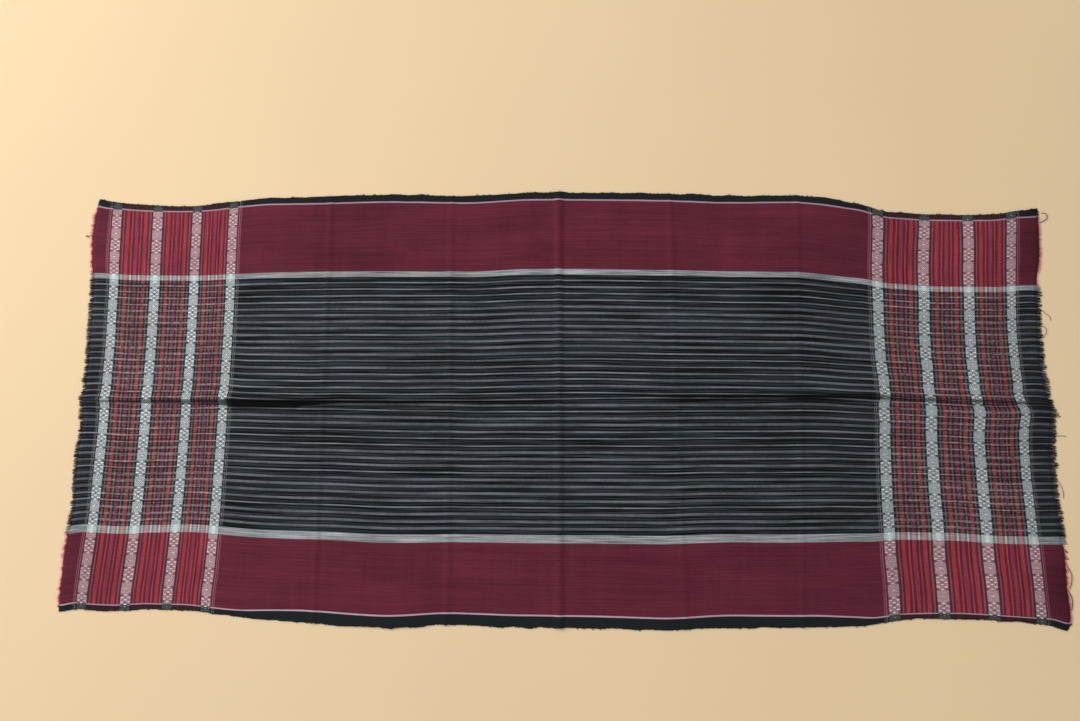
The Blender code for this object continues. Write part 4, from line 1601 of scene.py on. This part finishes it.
        for (paths, radii, shares), is_loose in ((self._comb(), 0.0), (self._loose(), 1.0)):
            ring, walls = tubes(paths, radii, 3)
            across = np.broadcast_to(shares[:, None, None], ring.shape[:3]) * weave.half_width
            lengthwise = np.full(ring.shape[:3], self.end.value * weave.half_length)
            out = np.linspace(0.0, 1.0, ring.shape[1])[None, :, None]
            fray = np.broadcast_to(ease((out - 0.3) / 0.5), ring.shape[:3])
            add(ring, walls, np.stack([lengthwise, across], axis=-1) * MM, is_loose, fray)
        if self.end is End.LEFT:
            ball, walls = self._knot(self._loose()[0][0, -1])
            add(ball, walls, np.zeros((*ball.shape[:2], 2)), 1.0, np.zeros(ball.shape[:2]))
        piece = new_object("raw_end_" + self.end.name.lower(), np.concatenate(points), faces)
        add_uv(piece, "weave", np.concatenate(uvs))
        add_number(piece, "loose", np.concatenate(loose))
        add_number(piece, "frayed", np.concatenate(frayed))
        return piece


@dataclass
class SelvedgeLoops:
    """The turns of the weft that stand out past a selvedge, as small loops."""

    plan: ClothPlan
    which: Edge
    last_loop: float = 860.0
    loop_pitch: float = 5.2
    off_place: float = 2.2
    loop_reach: float = 1.1
    half_widths: tuple[float, float] = (1.0, 2.4)
    root_inside: float = 0.8
    height: float = 0.45
    unevenness: float = 0.25
    radius: float = 0.42
    seed: int = 61

    def build(self) -> bpy.types.Object:
        """The loops: each is half an oval level with the floor, out of the cloth's rim and back into it.

        Returns:
            The object of the selvedge's loops.
        """
        plan, sign = self.plan, self.which.value
        draw = np.random.default_rng(self.seed + sign)
        centres = np.arange(-self.last_loop, self.last_loop, self.loop_pitch)
        centres = centres + draw.uniform(-self.off_place, self.off_place, len(centres))
        each = (len(centres), 1)
        reach = self.loop_reach * draw.gamma(2.0, 0.5, each).clip(0.3, 2.6)
        width = draw.uniform(*self.half_widths, each)
        angle = np.linspace(0.0, math.pi, 7)[None, :]
        lengthwise = centres[:, None] + width * np.cos(angle)
        along, across = plan.place(lengthwise, np.full_like(lengthwise, float(sign)))
        tilt = self.unevenness * np.sin(angle) * draw.uniform(-1, 1, each)
        height = plan.lift(along, across) + self.height + tilt
        out = reach * np.sin(angle) - self.root_inside + plan.bulge(self.which, along)
        paths = plan.points(along, across + sign * out, np.maximum(height, 1.3 * self.radius))
        radii = np.full(angle.shape, self.radius * MM) * draw.uniform(0.75, 1.25, each)
        ring, faces = tubes(paths, radii, 4)
        piece = new_object("selvedge_" + self.which.name.lower(), ring, faces)
        u = np.broadcast_to(lengthwise[:, :, None], ring.shape[:3])
        v = np.full(ring.shape[:3], sign * plan.weave.half_width)
        add_uv(piece, "weave", np.stack([u, v], axis=-1) * MM)
        return piece


class Lamp(NamedTuple):
    """A square area light that points at the middle of the cloth, in metres and watts."""

    name: str
    place: tuple[float, float, float]
    size: float
    power: float
    colour: tuple[float, float, float]


LAMPS = table(
    Lamp,
    ("window", (-3.1, 1.7, 2.6), 2.8, 150.0, (1.0, 0.985, 0.96)),
    ("fill", (1.2, -3.6, 3.4), 3.6, 26.0, (0.95, 0.97, 1.0)),
)


@dataclass
class Studio:
    """The plain pale floor, the soft light from the far left, and the camera.

    The camera's place is in the tables' millimetres, and the floor's sizes are in metres.
    """

    camera_place: tuple[float, float, float] = (11.5, -161.2, 1637.1)
    looks_along: tuple[float, float, float] = (-0.0286, 0.146, -0.9889)
    upward: tuple[float, float, float] = (-0.0137, 0.9891, 0.1464)
    lens: float = 30.48
    floor_colour: Colour = seen(228, 201, 162)
    floor_reach: float = 6.0
    floor_depth: float = 0.0003
    sensor_width: float = 36.0
    sky_colour: Colour = (0.96, 0.98, 1.0, 1.0)
    sky_strength: float = 0.55

    def camera(self, plan: ClothPlan) -> None:
        """Sets up the camera at the viewing angle that the folds and edges were measured from."""
        data = bpy.data.cameras.new("camera")
        data.lens = self.lens
        data.sensor_width = self.sensor_width
        made = in_scene("camera", data)
        back = -Vector(self.looks_along).normalized()
        right = Vector(self.upward).cross(back).normalized()
        turned = Matrix((right, back.cross(right), back)).transposed().to_4x4()
        x, y, z = self.camera_place
        turned.translation = Vector(((x + plan.shift[0]) * MM, (y + plan.shift[1]) * MM, z * MM))
        made.matrix_world = turned
        bpy.context.scene.camera = made

    def floor(self) -> None:
        """A matt floor just under the cloth."""
        reach = self.floor_reach
        corners = np.array([(-reach, -reach, 0), (reach, -reach, 0), (reach, reach, 0), (-reach, reach, 0)])
        made = new_object("floor", corners - [0.0, 0.0, self.floor_depth], [[0, 1, 2, 3]], smooth=False)
        sketch = new_material("pale_floor")
        inputs = sketch.tree.nodes["Principled BSDF"].inputs
        tone = sketch.scaled(sketch.grain(*sketch.place(), (2.0, 2.0)), 0.06, 0.97)
        sketch.feed(inputs["Base Color"], sketch.tint(self.floor_colour, tone))
        inputs["Roughness"].default_value = 0.9
        inputs["Specular IOR Level"].default_value = 0.1
        made.data.materials.append(bpy.data.materials["pale_floor"])

    def light(self) -> None:
        """A large window light from the far left, a weak fill from the near right, and a soft sky."""
        for lamp in LAMPS:
            data = bpy.data.lights.new(lamp.name, "AREA")
            data.size, data.energy, data.color = lamp.size, lamp.power, lamp.colour
            made = in_scene(lamp.name, data)
            made.location = lamp.place
            made.rotation_euler = (-Vector(lamp.place)).to_track_quat("-Z", "Y").to_euler()
        world = bpy.data.worlds.new("sky")
        world.use_nodes = True
        sky = world.node_tree.nodes["Background"]
        sky.inputs["Color"].default_value = self.sky_colour
        sky.inputs["Strength"].default_value = self.sky_strength
        bpy.context.scene.world = world
        bpy.context.scene.view_settings.view_transform = "Standard"


def dress(piece: bpy.types.Object, material: bpy.types.Material) -> bpy.types.Object:
    """Gives a piece its material and slot, lets it ride on the body, and logs the size of its mesh.

    Args:
        piece: The piece's object.
        material: Its material.

    Returns:
        The same object.
    """
    mesh = piece.data
    mesh.materials.append(material)
    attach(piece, "root")
    log.info("built %s with %d points and %d faces", piece.name, len(mesh.vertices), len(mesh.polygons))
    return piece


def main() -> None:
    """Builds the cloth, its brocade, its raw ends and its selvedges, and the studio around them."""
    logging.basicConfig(level=logging.INFO, format="%(name)s: %(message)s")
    weave = Weave()
    plan = ClothPlan(weave)
    studio = Studio()
    studio.camera(plan)
    studio.floor()
    studio.light()
    dyehouse = Dyehouse(weave, Dyes())
    woven = dyehouse.woven_cloth(YarnFinish("handwoven_cotton"))
    floats = dyehouse.brocade_yarn(YarnFinish("brocade_yarn", roughness=0.8, relief=0.4))
    threads = dyehouse.loose_yarn(YarnFinish("warp_ends", roughness=0.9, relief=0.4))

    sheet = dress(WovenSheet(plan).build(), woven)
    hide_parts("cloth")
    for end in End:
        dress(BrocadeBands(plan, end).build(), floats)
        raw = dress(RawEnd(plan, end).build(), threads)
        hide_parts("fringe_" + end.name.lower())
    for which in Edge:
        dress(SelvedgeLoops(plan, which).build(), threads)


if __name__ == "__main__":
    main()
